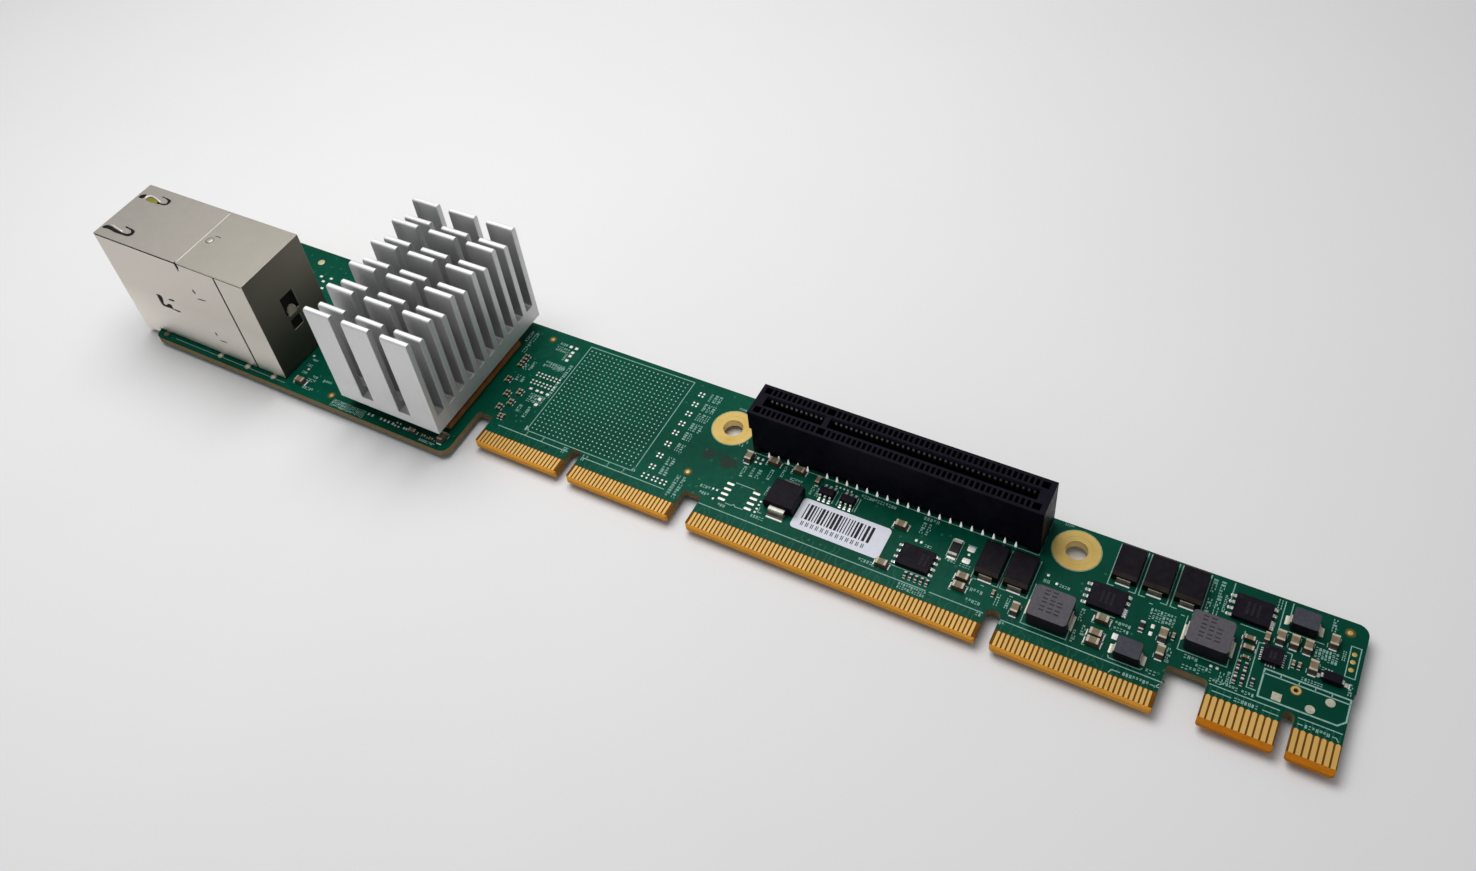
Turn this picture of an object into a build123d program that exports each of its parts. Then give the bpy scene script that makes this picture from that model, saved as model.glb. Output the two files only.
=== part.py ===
from build123d import *
import os

os.makedirs("parts", exist_ok=True)

# ---------------------------------------------------------------- driving dimensions (mm)
# Drawing frame: X along the card (0 at the first contact of the last fine-pitch tab),
# Y from the tab tips to the rear edge, Z = 0 on the board's upper face.
BOARD_T = 1.6
PIN_PROUD = 1.1                 # length of solder pins below the board
X_OFF, Y_OFF = 71.975, -13.74   # drawing frame -> centre of the card's box
Z_OFF = BOARD_T + PIN_PROUD     # drawing frame -> resting plane

X_LEFT, X_RIGHT = -191.4, 52.55
Y_FRONT, Y_BACK, Y_BACK_R = -4.92, 32.12, 28.70
STEP_X = -46.0                  # rear edge steps forward here, behind the slot

FINE_PITCH, FINE_W = 0.8, 0.5
FINE_TABS = [(-105.55, 23), (-83.98, 27), (-57.75, 68), (0.0, 32)]   # first contact, count
FINE_Y0, FINE_Y1 = 0.42, 3.35
X1_PITCH, X1_W = 1.0, 0.7
X1_TABS = [(32.79, 11), (45.79, 7)]
X1_TIP = 1.26
X1_Y0, X1_Y1 = 2.2, 6.5
GOLD_T = 0.05

HOLES = [(-60.8, 23.75), (6.4, 23.75)]
HOLE_R, RING_R, BARREL_R = 1.95, 4.15, 2.15

SLOT_X0, SLOT_X1 = -55.0, 1.0
SLOT_YC, SLOT_W, SLOT_H = 24.18, 7.5, 11.25
SLOT_FIRST = -52.2              # first contact of the slot
SLOT_KEY_AFTER, SLOT_COUNT = 11, 49

JX0, JX1 = -196.5, -153.7       # jack box
JY0, JY1 = -2.83, 13.85
JZ0, JZ1 = 0.35, 27.2
J_COLLAR_X, J_COLLAR_Z = -191.7, -1.3
SHEET = 0.25
J_SEAM_TOP, J_SEAM_SIDE = -172.1, -161.6
J_GAP_TOP, J_GAP_SIDE = 0.06, 0.36

HS_X0, HS_X1 = -136.95, -111.70
HS_Y0, HS_Y1 = -3.1, 32.4
HS_Z0, HS_BASE, HS_CROSS = 3.0, 3.8, 2.3      # foot height, floor of the row gaps, floor of the cross slots
HS_TALL, HS_SHORT = 28.0, 26.0
FIN_T, FIN_L = 1.25, 6.37
FIN_ROWS, FIN_COLS = 11, 3

CHIP_X0, CHIP_X1, CHIP_Y0, CHIP_Y1 = -137.2, -112.2, 0.3, 25.3
BALL_PITCH, BALL_N, BALL_R, BALL_H = 1.0, 24, 0.28, 0.45

# ---------------------------------------------------------------- helpers
NODES = {}


def bx(x0, x1, y0, y1, z0, z1):
    return Pos((x0 + x1) / 2, (y0 + y1) / 2, (z0 + z1) / 2) * Box(x1 - x0, y1 - y0, z1 - z0)


def cyl(x, y, z0, z1, r):
    return Pos(x, y, (z0 + z1) / 2) * Cylinder(r, z1 - z0)


def prism_z(pts, z0, z1):
    face = make_face(Polyline(*[(p[0], p[1], z0) for p in pts], close=True))
    return extrude(face, amount=z1 - z0, dir=(0, 0, 1))


def prism_y(pts, y0, y1):
    face = make_face(Polyline(*[(p[0], y0, p[1]) for p in pts], close=True))
    return extrude(face, amount=y1 - y0, dir=(0, 1, 0))


def prism_x(pts, x0, x1):
    face = make_face(Polyline(*[(x0, p[0], p[1]) for p in pts], close=True))
    return extrude(face, amount=x1 - x0, dir=(1, 0, 0))


def at(shape, x, y, z=0.0):
    return shape.moved(Location((x, y, z)))


def node(name, shapes):
    NODES.setdefault(name, [])
    for s in shapes if isinstance(shapes, (list, tuple)) else [shapes]:
        NODES[name].extend(s.solids())


def slot_contact_x():
    xs = []
    for i in range(SLOT_COUNT):
        xs.append(SLOT_FIRST + i + (2.0 if i >= SLOT_KEY_AFTER else 0.0))
    return xs


# ---------------------------------------------------------------- circuit board outline
fine_edge = []
for first, count in FINE_TABS:
    fine_edge.append((first - 0.8, first + FINE_PITCH * (count - 1) + 0.9))
(t1a, t1b), (t2a, t2b), (t3a, t3b), (t4a, t4b) = fine_edge
NOTCH_Y = 6.8
outline = [
    (X_LEFT, Y_FRONT, 1.8), (-110.0, Y_FRONT, 2.0), (-110.0, 6.75, 0.6), (t1a, 6.75, 0.5),
    (t1a, 0, 0.9), (t1b, 0, 0.7), (t1b, NOTCH_Y, 1.1), (t2a, NOTCH_Y, 1.1),
    (t2a, 0, 0.9), (t2b, 0, 0.7), (t2b, 6.9, 0.5), (t3a, 6.9, 0.5),
    (t3a, 0, 0.9), (t3b, 0, 0.6), (t3b, NOTCH_Y, 1.1), (t4a, NOTCH_Y, 1.1),
    (t4a, 0, 0.9), (t4b, 0, 0.5), (t4b, 8.85, 0.7), (32.15, 8.85, 0.7),
    (32.15, X1_TIP, 0.5), (43.4, X1_TIP, 0.5), (43.4, 8.75, 0.88), (45.2, 8.75, 0.88),
    (45.2, X1_TIP, 0.6), (52.3, X1_TIP, 0.6), (52.3, 15.6, 0), (X_RIGHT, 15.9, 0),
    (X_RIGHT, Y_BACK_R, 1.9), (STEP_X, Y_BACK_R, 1.0), (STEP_X, Y_BACK, 1.0), (X_LEFT, Y_BACK, 1.8),
]
face = make_face(Polyline(*[(p[0], p[1]) for p in outline], close=True))
sk = Sketch() + face
for x, y, r in outline:
    if r > 0:
        vs = [v for v in sk.vertices() if abs(v.X - x) < 1e-4 and abs(v.Y - y) < 1e-4]
        sk = fillet(vs, r)
board = extrude(sk, amount=BOARD_T, dir=(0, 0, 1))
board = Pos(0, 0, -BOARD_T) * board

# bevelled lead-in on both faces of the tab tips
cuts = []
for z, s in ((0.0, -1), (-BOARD_T, 1)):
    cuts.append(prism_x([(-0.2, z + s * 0.49), (0.4, z), (-0.2, z - s * 0.2)], t1a - 0.5, t4b + 0.5))
    cuts.append(prism_x([(X1_TIP - 0.2, z + s * 0.55), (2.15, z), (X1_TIP - 0.2, z - s * 0.2)], 31.9, 52.9))

# mounting holes, header holes
for x, y in HOLES:
    cuts.append(cyl(x, y, -BOARD_T - 1, 1, BARREL_R))
HEADER = [(42.0, 10.4), (46.9, 10.4), (49.4, 12.8)]
HEADER_OPEN = (44.4, 12.8)
for x, y in HEADER + [HEADER_OPEN]:
    cuts.append(cyl(x, y, -BOARD_T - 1, 1, 0.5))

# slot tails: outer row for every second contact, inner row for the others
TAIL_X, TAIL_Y = 0.4, 0.3
tails_front, tails_rear = [], []
for i, x in enumerate(slot_contact_x()):
    off = 3.55 if i % 2 else 1.9
    tails_front.append((x, SLOT_YC - off, i % 2))
    tails_rear.append((x, SLOT_YC + off, i % 2))
for x, y, _ in tails_front + tails_rear:
    cuts.append(bx(x - TAIL_X / 2, x + TAIL_X / 2, y - TAIL_Y / 2, y + TAIL_Y / 2, -BOARD_T - 1, 1))
SLOT_PEGS = [(-40.7, SLOT_YC), (-0.6, SLOT_YC)]
for x, y in SLOT_PEGS:
    cuts.append(cyl(x, y, -BOARD_T - 1, 1, 1.1))

# jack pins and shield tabs
J_PINS = [(-177.0 + 2.0 * (i % 10), 3.2 if i < 10 else 7.8) for i in range(20)]
J_PIN_R = 0.3
for x, y in J_PINS:
    cuts.append(cyl(x, y, -BOARD_T - 1, 1, J_PIN_R))
TAB_W = 1.3
FRONT_TABS, REAR_TABS = [-188.9, -172.3, -164.3], [-156.8]
for x in FRONT_TABS + REAR_TABS:
    for y0 in (JY0, JY1 - SHEET):
        cuts.append(bx(x - TAB_W / 2, x + TAB_W / 2, y0, y0 + SHEET, -BOARD_T - 1, 1))
board = board - cuts
node("circuit_board", board)

# ---------------------------------------------------------------- gold edge contacts
# each contact is rounded at its inner end
fine_top = bx(-FINE_W / 2, FINE_W / 2, FINE_Y0, FINE_Y1 - FINE_W / 2, 0, GOLD_T) + cyl(0, FINE_Y1 - FINE_W / 2, 0, GOLD_T, FINE_W / 2)
fine_bot = at(fine_top, 0, 0, -BOARD_T - GOLD_T)
for first, count in FINE_TABS:
    for i in range(count):
        node("fine_edge_contacts_top", at(fine_top, first + FINE_PITCH * i, 0))
        node("fine_edge_contacts_bottom", at(fine_bot, first + FINE_PITCH * i, 0))
x1_top = bx(-X1_W / 2, X1_W / 2, X1_Y0, X1_Y1 - X1_W / 2, 0, GOLD_T) + cyl(0, X1_Y1 - X1_W / 2, 0, GOLD_T, X1_W / 2)
x1_bot = at(x1_top, 0, 0, -BOARD_T - GOLD_T)
for first, count in X1_TABS:
    for i in range(count):
        node("x1_edge_contacts_top", at(x1_top, first + X1_PITCH * i, 0))
        node("x1_edge_contacts_bottom", at(x1_bot, first + X1_PITCH * i, 0))

# ---------------------------------------------------------------- plated mounting eyelets
for x, y in HOLES:
    e = cyl(x, y, -BOARD_T - GOLD_T, GOLD_T, BARREL_R)
    e = e + [cyl(x, y, 0, GOLD_T, RING_R), cyl(x, y, -BOARD_T - GOLD_T, -BOARD_T, RING_R)]
    e = e - cyl(x, y, -BOARD_T - 1, 1, HOLE_R)
    node("mounting_hole_eyelets", e)

# header footprint: three solder-filled holes (first one on a square land), one open plated hole
for k, (x, y) in enumerate(HEADER):
    s = cyl(x, y, -BOARD_T - 0.12, 0.12, 0.5)
    land = bx(x - 0.72, x + 0.72, y - 0.72, y + 0.72, 0, 0.12) if k == 0 else cyl(x, y, 0, 0.12, 0.73)
    s = s + [land, cyl(x, y, -BOARD_T - 0.12, -BOARD_T, 0.73)]
    node("header_hole_solder", s)
x, y = HEADER_OPEN
e = cyl(x, y, -BOARD_T - GOLD_T, GOLD_T, 0.5)
e = e + [cyl(x, y, 0, GOLD_T, 0.75), cyl(x, y, -BOARD_T - GOLD_T, -BOARD_T, 0.75)]
node("header_hole_plating", e - cyl(x, y, -BOARD_T - 1, 1, 0.38))

# ---------------------------------------------------------------- card slot
yc = SLOT_YC
house = bx(SLOT_X0, SLOT_X1, yc - SLOT_W / 2, yc + SLOT_W / 2, 0, SLOT_H)
pegs = [cyl(x, y, -BOARD_T - PIN_PROUD, 0.01, 1.1) for x, y in SLOT_PEGS]
house = house + pegs
cx = slot_contact_x()
hc = []
# left end is set back under its lip; the feet of both long sides are relieved for the tails
hc.append(bx(SLOT_X0 - 1, SLOT_X0 + 0.45, yc - 5, yc + 5, -1, 6.6))
for s in (-1, 1):
    ya, yb = sorted((yc + s * (SLOT_W / 2 + 1), yc + s * (SLOT_W / 2 - 0.55)))
    hc.append(bx(cx[0] - 1.0, cx[-1] + 1.0, ya, yb, -1, 1.5))
# card cavity in two runs with the key between them, with a chamfered mouth
CARD_H, CARD_Z = 0.9, 2.6
runs = [(cx[0] - 0.95, cx[10] + 0.95), (cx[11] - 0.95, cx[-1] + 0.95)]
for a, b in runs:
    hc.append(bx(a, b, yc - CARD_H, yc + CARD_H, CARD_Z, SLOT_H + 1))
    hc.append(prism_x([(yc - CARD_H, SLOT_H - 0.35), (yc + CARD_H, SLOT_H - 0.35),
                       (yc + CARD_H + 0.4, SLOT_H + 0.05), (yc - CARD_H - 0.4, SLOT_H + 0.05)], a, b))
for s in (-1, 1):
    for x in cx:
        # groove for the contact beam, open to the card cavity and through the floor
        ya, yb = sorted((yc + s * (CARD_H - 0.01), yc + s * 1.32))
        hc.append(bx(x - 0.25, x + 0.25, ya, yb, CARD_Z, 10.8))
        # recess in the upper face
        ya, yb = sorted((yc + s * 1.72, yc + s * 3.12))
        hc.append(bx(x - 0.29, x + 0.29, ya, yb, SLOT_H - 3.0, SLOT_H + 1))
    for x, w in ((cx[0] - 1.35, 1.3), (cx[10] + 1.5, 1.5), (cx[-1] + 1.45, 1.4)):
        ya, yb = sorted((yc + s * 1.72, yc + s * 3.12))
        hc.append(bx(x - w / 2, x + w / 2, ya, yb, SLOT_H - 3.0, SLOT_H + 1))
# wells for the tails through the floor
for x, y, _ in tails_front + tails_rear:
    hc.append(bx(x - 0.2, x + 0.2, y - TAIL_Y / 2, y + TAIL_Y / 2, -1, 1.9))
for x, y, _ in tails_front + tails_rear:
    s = -1 if y < yc else 1
    ya, yb = sorted((y - s * -TAIL_Y / 2, yc + s * 1.0))
    hc.append(bx(x - 0.2, x + 0.2, ya, yb, 1.6, 1.9))
    ya, yb = sorted((yc + s * 1.0, yc + s * 1.25))
    hc.append(bx(x - 0.2, x + 0.2, ya, yb, 1.6, CARD_Z + 0.1))
house = house - hc
node("slot_housing", house)


def slot_contact(tail_off):
    # one stamped contact, drawn for the rear row about the slot's middle plane
    t = tail_off
    zb = -BOARD_T - 0.85
    pts = [(t - 0.15, zb), (t + 0.15, zb), (t + 0.15, 1.9), (1.25, 1.9), (1.25, 8.4),
           (0.93, 9.9), (1.25, 10.5), (1.05, 10.6), (0.66, 9.95), (1.0, 8.3), (1.0, 1.6), (t - 0.15, 1.6)]
    return prism_x(pts, -0.2, 0.2)


outer, inner = slot_contact(3.55), slot_contact(1.9)
for i, x in enumerate(cx):
    c = outer if i % 2 else inner
    node("slot_contacts_rear", at(c, x, yc))
    node("slot_contacts_front", at(c.mirror(Plane.XZ), x, yc))

# ---------------------------------------------------------------- stacked network jack
jyc = (JY0 + JY1) / 2


def port(zc, up, grow, x0, x1):
    # plug-shaped opening: main room plus the two-step latch room, latch on the outer side
    s = 1 if up else -1
    g = grow
    solids = [bx(x0, x1, jyc - 5.95 - g, jyc + 5.95 + g, zc - 3.45 - g, zc + 3.45 + g)]
    for hw, h in ((3.2, 5.0), (1.75, 6.2)):
        za, zb = sorted((zc, zc + s * (h + g)))
        solids.append(bx(x0, x1, jyc - hw - g, jyc + hw + g, za, zb))
    return solids


PORTS = [(19.2, True), (7.0, False)]
PIPES = [(y, z) for y in (-1.75, 10.25) for z in (24.6, 0.75)]      # lower corner of each window
PIPE_W, PIPE_H = 2.5, 1.95

ix0, ix1 = JX0 + SHEET, -180.2
insert = bx(ix0, ix1, JY0 + SHEET, JY1 - SHEET, 0.45, JZ1 - SHEET)
ic = []
for zc, up in PORTS:
    ic += port(zc, up, 0.0, ix0 - 1, -183.2)
for y, z in PIPES:
    ic.append(bx(ix0 - 1, ix0 + 9.0, y, y + PIPE_W, z, z + PIPE_H))
insert = insert - ic
node("jack_insert", insert)
for y, z in PIPES:
    node("jack_light_pipes", bx(ix0 - 0.2, ix0 + 9.0, y, y + PIPE_W, z, z + PIPE_H))

# spring contacts: from the cavity's rear wall, sloping to the latch-free side
for name, (zc, up) in zip(("jack_contacts_upper", "jack_contacts_lower"), PORTS):
    s = 1 if up else -1
    zr = zc - s * 2.9
    pts = [(-183.2, zr), (-183.2, zr + s * 0.3), (-184.4, zr + s * 0.3), (-191.6, zr + s * 2.2),
           (-193.2, zr + s * 0.55), (-193.2, zr + s * 0.2), (-191.6, zr + s * 1.8), (-184.4, zr)]
    for k in range(8):
        y = jyc - 3.57 + 1.02 * k
        node(name, prism_y(pts, y - 0.18, y + 0.18))

node("jack_magnetics_block", bx(-180.1, JX1 - SHEET - 0.1, JY0 + SHEET + 0.1, JY1 - SHEET - 0.1, 0.6, JZ1 - SHEET - 0.1))
for x, y in J_PINS:
    node("jack_pins", cyl(x, y, -BOARD_T - PIN_PROUD, 0.6, J_PIN_R))

# folded shield: one closed shell, parted into the front shield and the rear cover
outer_box = bx(JX0, JX1, JY0, JY1, JZ0, JZ1) + bx(JX0, J_COLLAR_X, JY0, JY1, J_COLLAR_Z, JZ0 + 0.01)
inner_box = bx(JX0 + SHEET, JX1 - SHEET, JY0 + SHEET, JY1 - SHEET, J_COLLAR_Z - 1, JZ1 - SHEET)
shell = outer_box - inner_box
tabs_f = [bx(x - TAB_W / 2, x + TAB_W / 2, y0, y0 + SHEET, -BOARD_T - 0.8, JZ0 + 0.01)
          for x in FRONT_TABS for y0 in (JY0, JY1 - SHEET)]
tabs_r = [bx(x - TAB_W / 2, x + TAB_W / 2, y0, y0 + SHEET, -BOARD_T - 0.8, JZ0 + 0.01)
          for x in REAR_TABS for y0 in (JY0, JY1 - SHEET)]
front = shell - [bx(J_SEAM_TOP - J_GAP_TOP, JX1 + 1, JY0 - 1, JY1 + 1, JZ1 - SHEET - 0.06, JZ1 + 1),
                 bx(J_SEAM_SIDE - J_GAP_SIDE, JX1 + 1, JY0 - 1, JY1 + 1, -3, JZ1 + 1)]
rear = shell & (bx(J_SEAM_TOP, JX1 + 1, JY0 - 1, JY1 + 1, JZ1 - SHEET, JZ1 + 1)
                + bx(J_SEAM_SIDE, JX1 + 1, JY0 - 1, JY1 + 1, -3, JZ1 + 1))
fc = []
for zc, up in PORTS:
    fc += port(zc, up, 0.15, JX0 - 1, JX0 + SHEET + 0.01)
for y, z in PIPES:
    fc.append(bx(JX0 - 1, JX0 + SHEET + 0.01, y, y + PIPE_W, z, z + PIPE_H))
# spring-finger slits in the roof
hook_near = [(-196.15, -0.72), (-196.05, -0.16), (-195.32, 0.3), (-194.23, 0.3), (-192.72, 0.03), (-191.44, -0.16), (-190.22, -0.31),
             (-189.1, -0.22), (-188.61, 0.18), (-188.69, 0.65), (-189.08, 0.96), (-189.9, 1.1), (-190.73, 1.17), (-191.26, 1.29),
             (-191.04, 1.55), (-189.98, 1.47), (-189.0, 1.39), (-188.13, 1.21), (-187.73, 0.83), (-187.54, 0.11), (-187.89, -0.5),
             (-188.48, -0.8), (-189.67, -0.82), (-190.82, -0.88), (-192.18, -0.9), (-192.93, -0.76), (-193.52, -0.7), (-194.36, -0.63),
             (-195.46, -0.84)]
hook_far_a = [(-196.1, 9.72), (-196.08, 10.29), (-195.55, 10.82), (-194.87, 11.06), (-194.53, 10.59), (-194.47, 9.94), (-194.75, 9.62),
              (-195.48, 9.58)]
hook_far_b = [(-193.83, 9.71), (-193.76, 10.29), (-193.34, 10.78), (-192.73, 10.84), (-191.76, 10.59), (-190.7, 10.31), (-189.7, 10.08),
              (-189.23, 10.06), (-188.72, 10.16), (-188.35, 10.55), (-188.38, 11.02), (-188.65, 11.34), (-189.21, 11.53), (-189.93, 11.64),
              (-190.57, 11.66), (-190.99, 11.78), (-190.85, 11.94), (-190.02, 11.88), (-189.09, 11.86), (-188.26, 11.74), (-187.76, 11.48),
              (-187.52, 10.95), (-187.63, 10.28), (-188.1, 9.85), (-188.71, 9.71), (-189.32, 9.71), (-190.23, 9.56), (-191.35, 9.46),
              (-192.45, 9.48), (-193.28, 9.54)]
for h in (hook_near, hook_far_a, hook_far_b):
    fc.append(prism_z(h, JZ1 - SHEET - 0.01, JZ1 + 1))
# lanced tab in each side wall
lance = [(-185.68, 13.22), (-184.88, 13.43), (-183.99, 13.38), (-183.85, 12.83), (-184.23, 11.62), (-184.58, 10.72), (-184.26, 10.48),
         (-183.69, 10.68), (-182.91, 11.26), (-182.17, 11.48), (-181.97, 11.14), (-181.98, 10.46), (-182.01, 10.12), (-181.25, 10.18),
         (-180.45, 10.21), (-179.66, 10.15), (-180.1, 9.73), (-180.92, 9.62), (-181.77, 9.75), (-182.5, 9.8), (-183.37, 9.88),
         (-184.53, 9.74), (-185.42, 9.78), (-185.65, 10.46), (-185.66, 11.37), (-185.61, 12.15), (-185.56, 12.78)]
sliver = [(-181.78, 13.27), (-181.09, 13.41), (-180.28, 13.52), (-179.92, 13.36), (-180.01, 13.08), (-180.62, 12.9), (-181.41, 12.84),
          (-181.88, 12.93)]
for h in (lance, sliver):
    fc.append(prism_y(h, JY0 - 1, JY0 + SHEET + 0.01))
    fc.append(prism_y(h, JY1 - SHEET - 0.01, JY1 + 1))
# corner notch where the roof flap ends
fc.append(bx(-172.7, -172.15, JY0 - 1, JY0 + SHEET + 0.01, 24.9, JZ1 + 1))
fc.append(bx(-172.7, -172.15, JY1 - SHEET - 0.01, JY1 + 1, 24.9, JZ1 + 1))
front = (front + tabs_f) - fc
node("jack_front_shield", front)
# two windows in the rear wall with a bent-out nub between them
rear = (rear + tabs_r) - [bx(JX1 - SHEET - 0.01, JX1 + 1, 3.7, 7.5, 12.6, 17.6), bx(JX1 - SHEET - 0.01, JX1 + 1, 4.0, 6.85, 8.4, 11.2)]
rear = rear + prism_x([(4.3, 12.4), (6.3, 12.4), (6.45, 13.6), (6.1, 14.4), (5.4, 14.8), (4.7, 14.5), (4.25, 13.7)], JX1 - SHEET, JX1 + 0.3)
node("jack_rear_cover", rear)

# ---------------------------------------------------------------- controller and heatsink
for i in range(BALL_N):
    for j in range(BALL_N):
        bxx = (CHIP_X0 + CHIP_X1) / 2 + (i - (BALL_N - 1) / 2) * BALL_PITCH
        byy = (CHIP_Y0 + CHIP_Y1) / 2 + (j - (BALL_N - 1) / 2) * BALL_PITCH
        if i in (0, 1, BALL_N - 2, BALL_N - 1) or j in (0, 1, BALL_N - 2, BALL_N - 1):
            node("controller_solder_balls", cyl(bxx, byy, 0, BALL_H, BALL_R))
node("controller_substrate", bx(CHIP_X0, CHIP_X1, CHIP_Y0, CHIP_Y1, BALL_H, 1.65))
dxc, dyc = (CHIP_X0 + CHIP_X1) / 2, (CHIP_Y0 + CHIP_Y1) / 2
node("controller_die", bx(dxc - 6.5, dxc + 6.5, dyc - 6.5, dyc + 6.5, 1.65, 2.6))
node("thermal_tape", bx(dxc - 6.5, dxc + 6.5, dyc - 6.5, dyc + 6.5, 2.6, HS_Z0))

# extruded comb seen along X: rounded fin tips, eased gap floors, every second row shorter
pitch = (HS_Y1 - HS_Y0 - FIN_T) / (FIN_ROWS - 1)
floor = HS_Z0 + HS_BASE
comb = [(HS_Y0, HS_Z0)]
for r in range(FIN_ROWS):
    ya, yb = HS_Y0 + r * pitch, HS_Y0 + r * pitch + FIN_T
    zt = HS_SHORT if r % 2 else HS_TALL
    if r > 0:
        comb += [(ya - 0.45, floor), (ya - 0.12, floor + 0.15), (ya, floor + 0.5)]
    comb += [(ya, zt - 0.42), (ya + 0.10, zt - 0.17), (ya + 0.34, zt), (yb - 0.34, zt), (yb - 0.10, zt - 0.17), (yb, zt - 0.42)]
    if r < FIN_ROWS - 1:
        comb += [(yb, floor + 0.5), (yb + 0.12, floor + 0.15), (yb + 0.45, floor)]
comb.append((HS_Y1, HS_Z0))
hs = prism_x(comb, HS_X0, HS_X1)
gap = (HS_X1 - HS_X0 - FIN_COLS * FIN_L) / (FIN_COLS - 1)
hcuts = []
for k in range(FIN_COLS - 1):
    x0 = HS_X0 + FIN_L + k * (FIN_L + gap)
    hcuts.append(bx(x0, x0 + gap, HS_Y0 - 1, HS_Y1 + 1, HS_Z0 + HS_CROSS, HS_TALL + 1))
hs = hs - hcuts
node("heatsink", hs)

# ---------------------------------------------------------------- leaded and moulded parts


def gull_y(y0, out, z_top, w, foot=0.45, t=0.15):
    # bent lead leaving a body face at y0 towards `out` (+1 rear, -1 front), width w along X
    s = out
    pts = [(y0, z_top), (y0 + s * 0.3, z_top), (y0 + s * 0.45, t), (y0 + s * (0.45 + foot), t),
           (y0 + s * (0.45 + foot), 0), (y0 + s * 0.3, 0), (y0 + s * 0.15, z_top - t), (y0, z_top - t)]
    return prism_x(pts, -w / 2, w / 2)


def gull_x(x0, out, z_top, w, foot=0.45, t=0.15):
    s = out
    pts = [(x0, z_top), (x0 + s * 0.3, z_top), (x0 + s * 0.45, t), (x0 + s * (0.45 + foot), t),
           (x0 + s * (0.45 + foot), 0), (x0 + s * 0.3, 0), (x0 + s * 0.15, z_top - t), (x0, z_top - t)]
    return prism_y(pts, -w / 2, w / 2)


def moulded(x, y, lx, ly, z0, z1, slope=0.12, waist=0.45):
    # moulded body with drafted sides above and below its parting line
    zw = z0 + (z1 - z0) * waist
    mid = Pos(x, y, zw) * Rectangle(lx, ly)
    top = Pos(x, y, z1) * Rectangle(lx - 2 * slope, ly - 2 * slope)
    bot = Pos(x, y, z0) * Rectangle(lx - 1.2 * slope, ly - 1.2 * slope)
    return loft([mid, top]) + loft([bot, mid])


# flat power diode beside the label
DX, DY = -44.1, 12.45
node("power_diode_body", moulded(DX, DY, 5.9, 5.7, 0.1, 2.2, 0.16, 0.55))
for s in (-1, 1):
    yb = DY + s * 2.85
    z = 0.1 + 2.1 * 0.55
    pts = [(yb, z + 0.1), (yb + s * 0.75, z + 0.1), (yb + s * 0.95, z - 0.15), (yb + s * 0.95, 0),
           (yb + s * 0.05, 0), (yb + s * 0.05, 0.1 - 0.02), (yb + s * 0.75, 0.1 - 0.02 + 0.1), (yb + s * 0.75, z - 0.1), (yb, z - 0.1)]
    node("power_diode_leads", prism_x(pts, DX - 1.55, DX + 1.55))

# moulded tantalum capacitors
TANT = [(-5.6, 15.3), (-0.5, 15.3), (15.25, 24.2), (20.45, 24.2), (25.65, 24.2)]
for x, y in TANT:
    b = bx(x - 2.1, x + 2.1, y - 3.45, y + 3.45, 0.1, 1.9)
    b = b - [prism_x([(y + s * 3.46, 1.4), (y + s * 3.46, 1.91), (y + s * 2.85, 1.91)], x - 3, x + 3) for s in (-1, 1)]
    node("tantalum_bodies", b)
    for s in (-1, 1):
        ya, yb = sorted((y + s * 3.45, y + s * 3.63))
        strap = bx(x - 1.15, x + 1.15, ya, yb, 0, 1.0)
        ya, yb = sorted((y + s * 2.3, y + s * 3.63))
        strap = strap + bx(x - 1.15, x + 1.15, ya, yb, 0, 0.1)
        node("tantalum_straps", strap)

# power inductors
POWER_L = [(6.4, 10.0), (30.4, 16.0)]
for x, y in POWER_L:
    b = bx(x - 3.35, x + 3.35, y - 3.4, y + 2.8, 0.12, 3.1)
    b = fillet(b.edges().filter_by(Axis.Z), 0.7)
    node("power_inductor_bodies", b)
    for s in (-1, 1):
        xa, xb = sorted((x + s * 3.35, x + s * 3.53))
        strap = bx(xa, xb, y - 1.75, y + 1.15, 0, 1.5)
        xa, xb = sorted((x + s * 2.2, x + s * 3.53))
        node("power_inductor_straps", strap + bx(xa, xb, y - 1.75, y + 1.15, 0, 0.12))

# small inductors
SMALL_L = [(19.7, 7.9), (43.2, 24.7)]
for x, y in SMALL_L:
    b = bx(x - 2.0, x + 2.0, y - 1.65, y + 1.65, 0.1, 2.3)
    b = fillet(b.edges().filter_by(Axis.Z), 0.4)
    node("small_inductor_bodies", b)
    for s in (-1, 1):
        xa, xb = sorted((x + s * 2.0, x + s * 2.22))
        strap = bx(xa, xb, y - 0.75, y + 0.75, 0, 1.0)
        xa, xb = sorted((x + s * 1.3, x + s * 2.22))
        node("small_inductor_straps", strap + bx(xa, xb, y - 0.75, y + 0.75, 0, 0.1))

# flat no-lead power transistors
for x, y in [(13.9, 16.35), (35.4, 23.9)]:
    node("power_transistor_bodies", bx(x - 2.95, x + 2.95, y - 2.45, y + 2.2, 0.22, 1.0))
    for k in range(4):
        yy = y - 1.905 + 1.27 * k
        node("power_transistor_leads", bx(x - 3.3, x - 2.2, yy - 0.3, yy + 0.3, 0, 0.22))
    for y0, y1 in ((y - 2.2, y - 0.45), (y + 0.3, y + 0.95), (y + 1.55, y + 2.2)):
        node("power_transistor_leads", bx(x + 2.2, x + 3.3, y0, y1, 0, 0.22))

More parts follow.
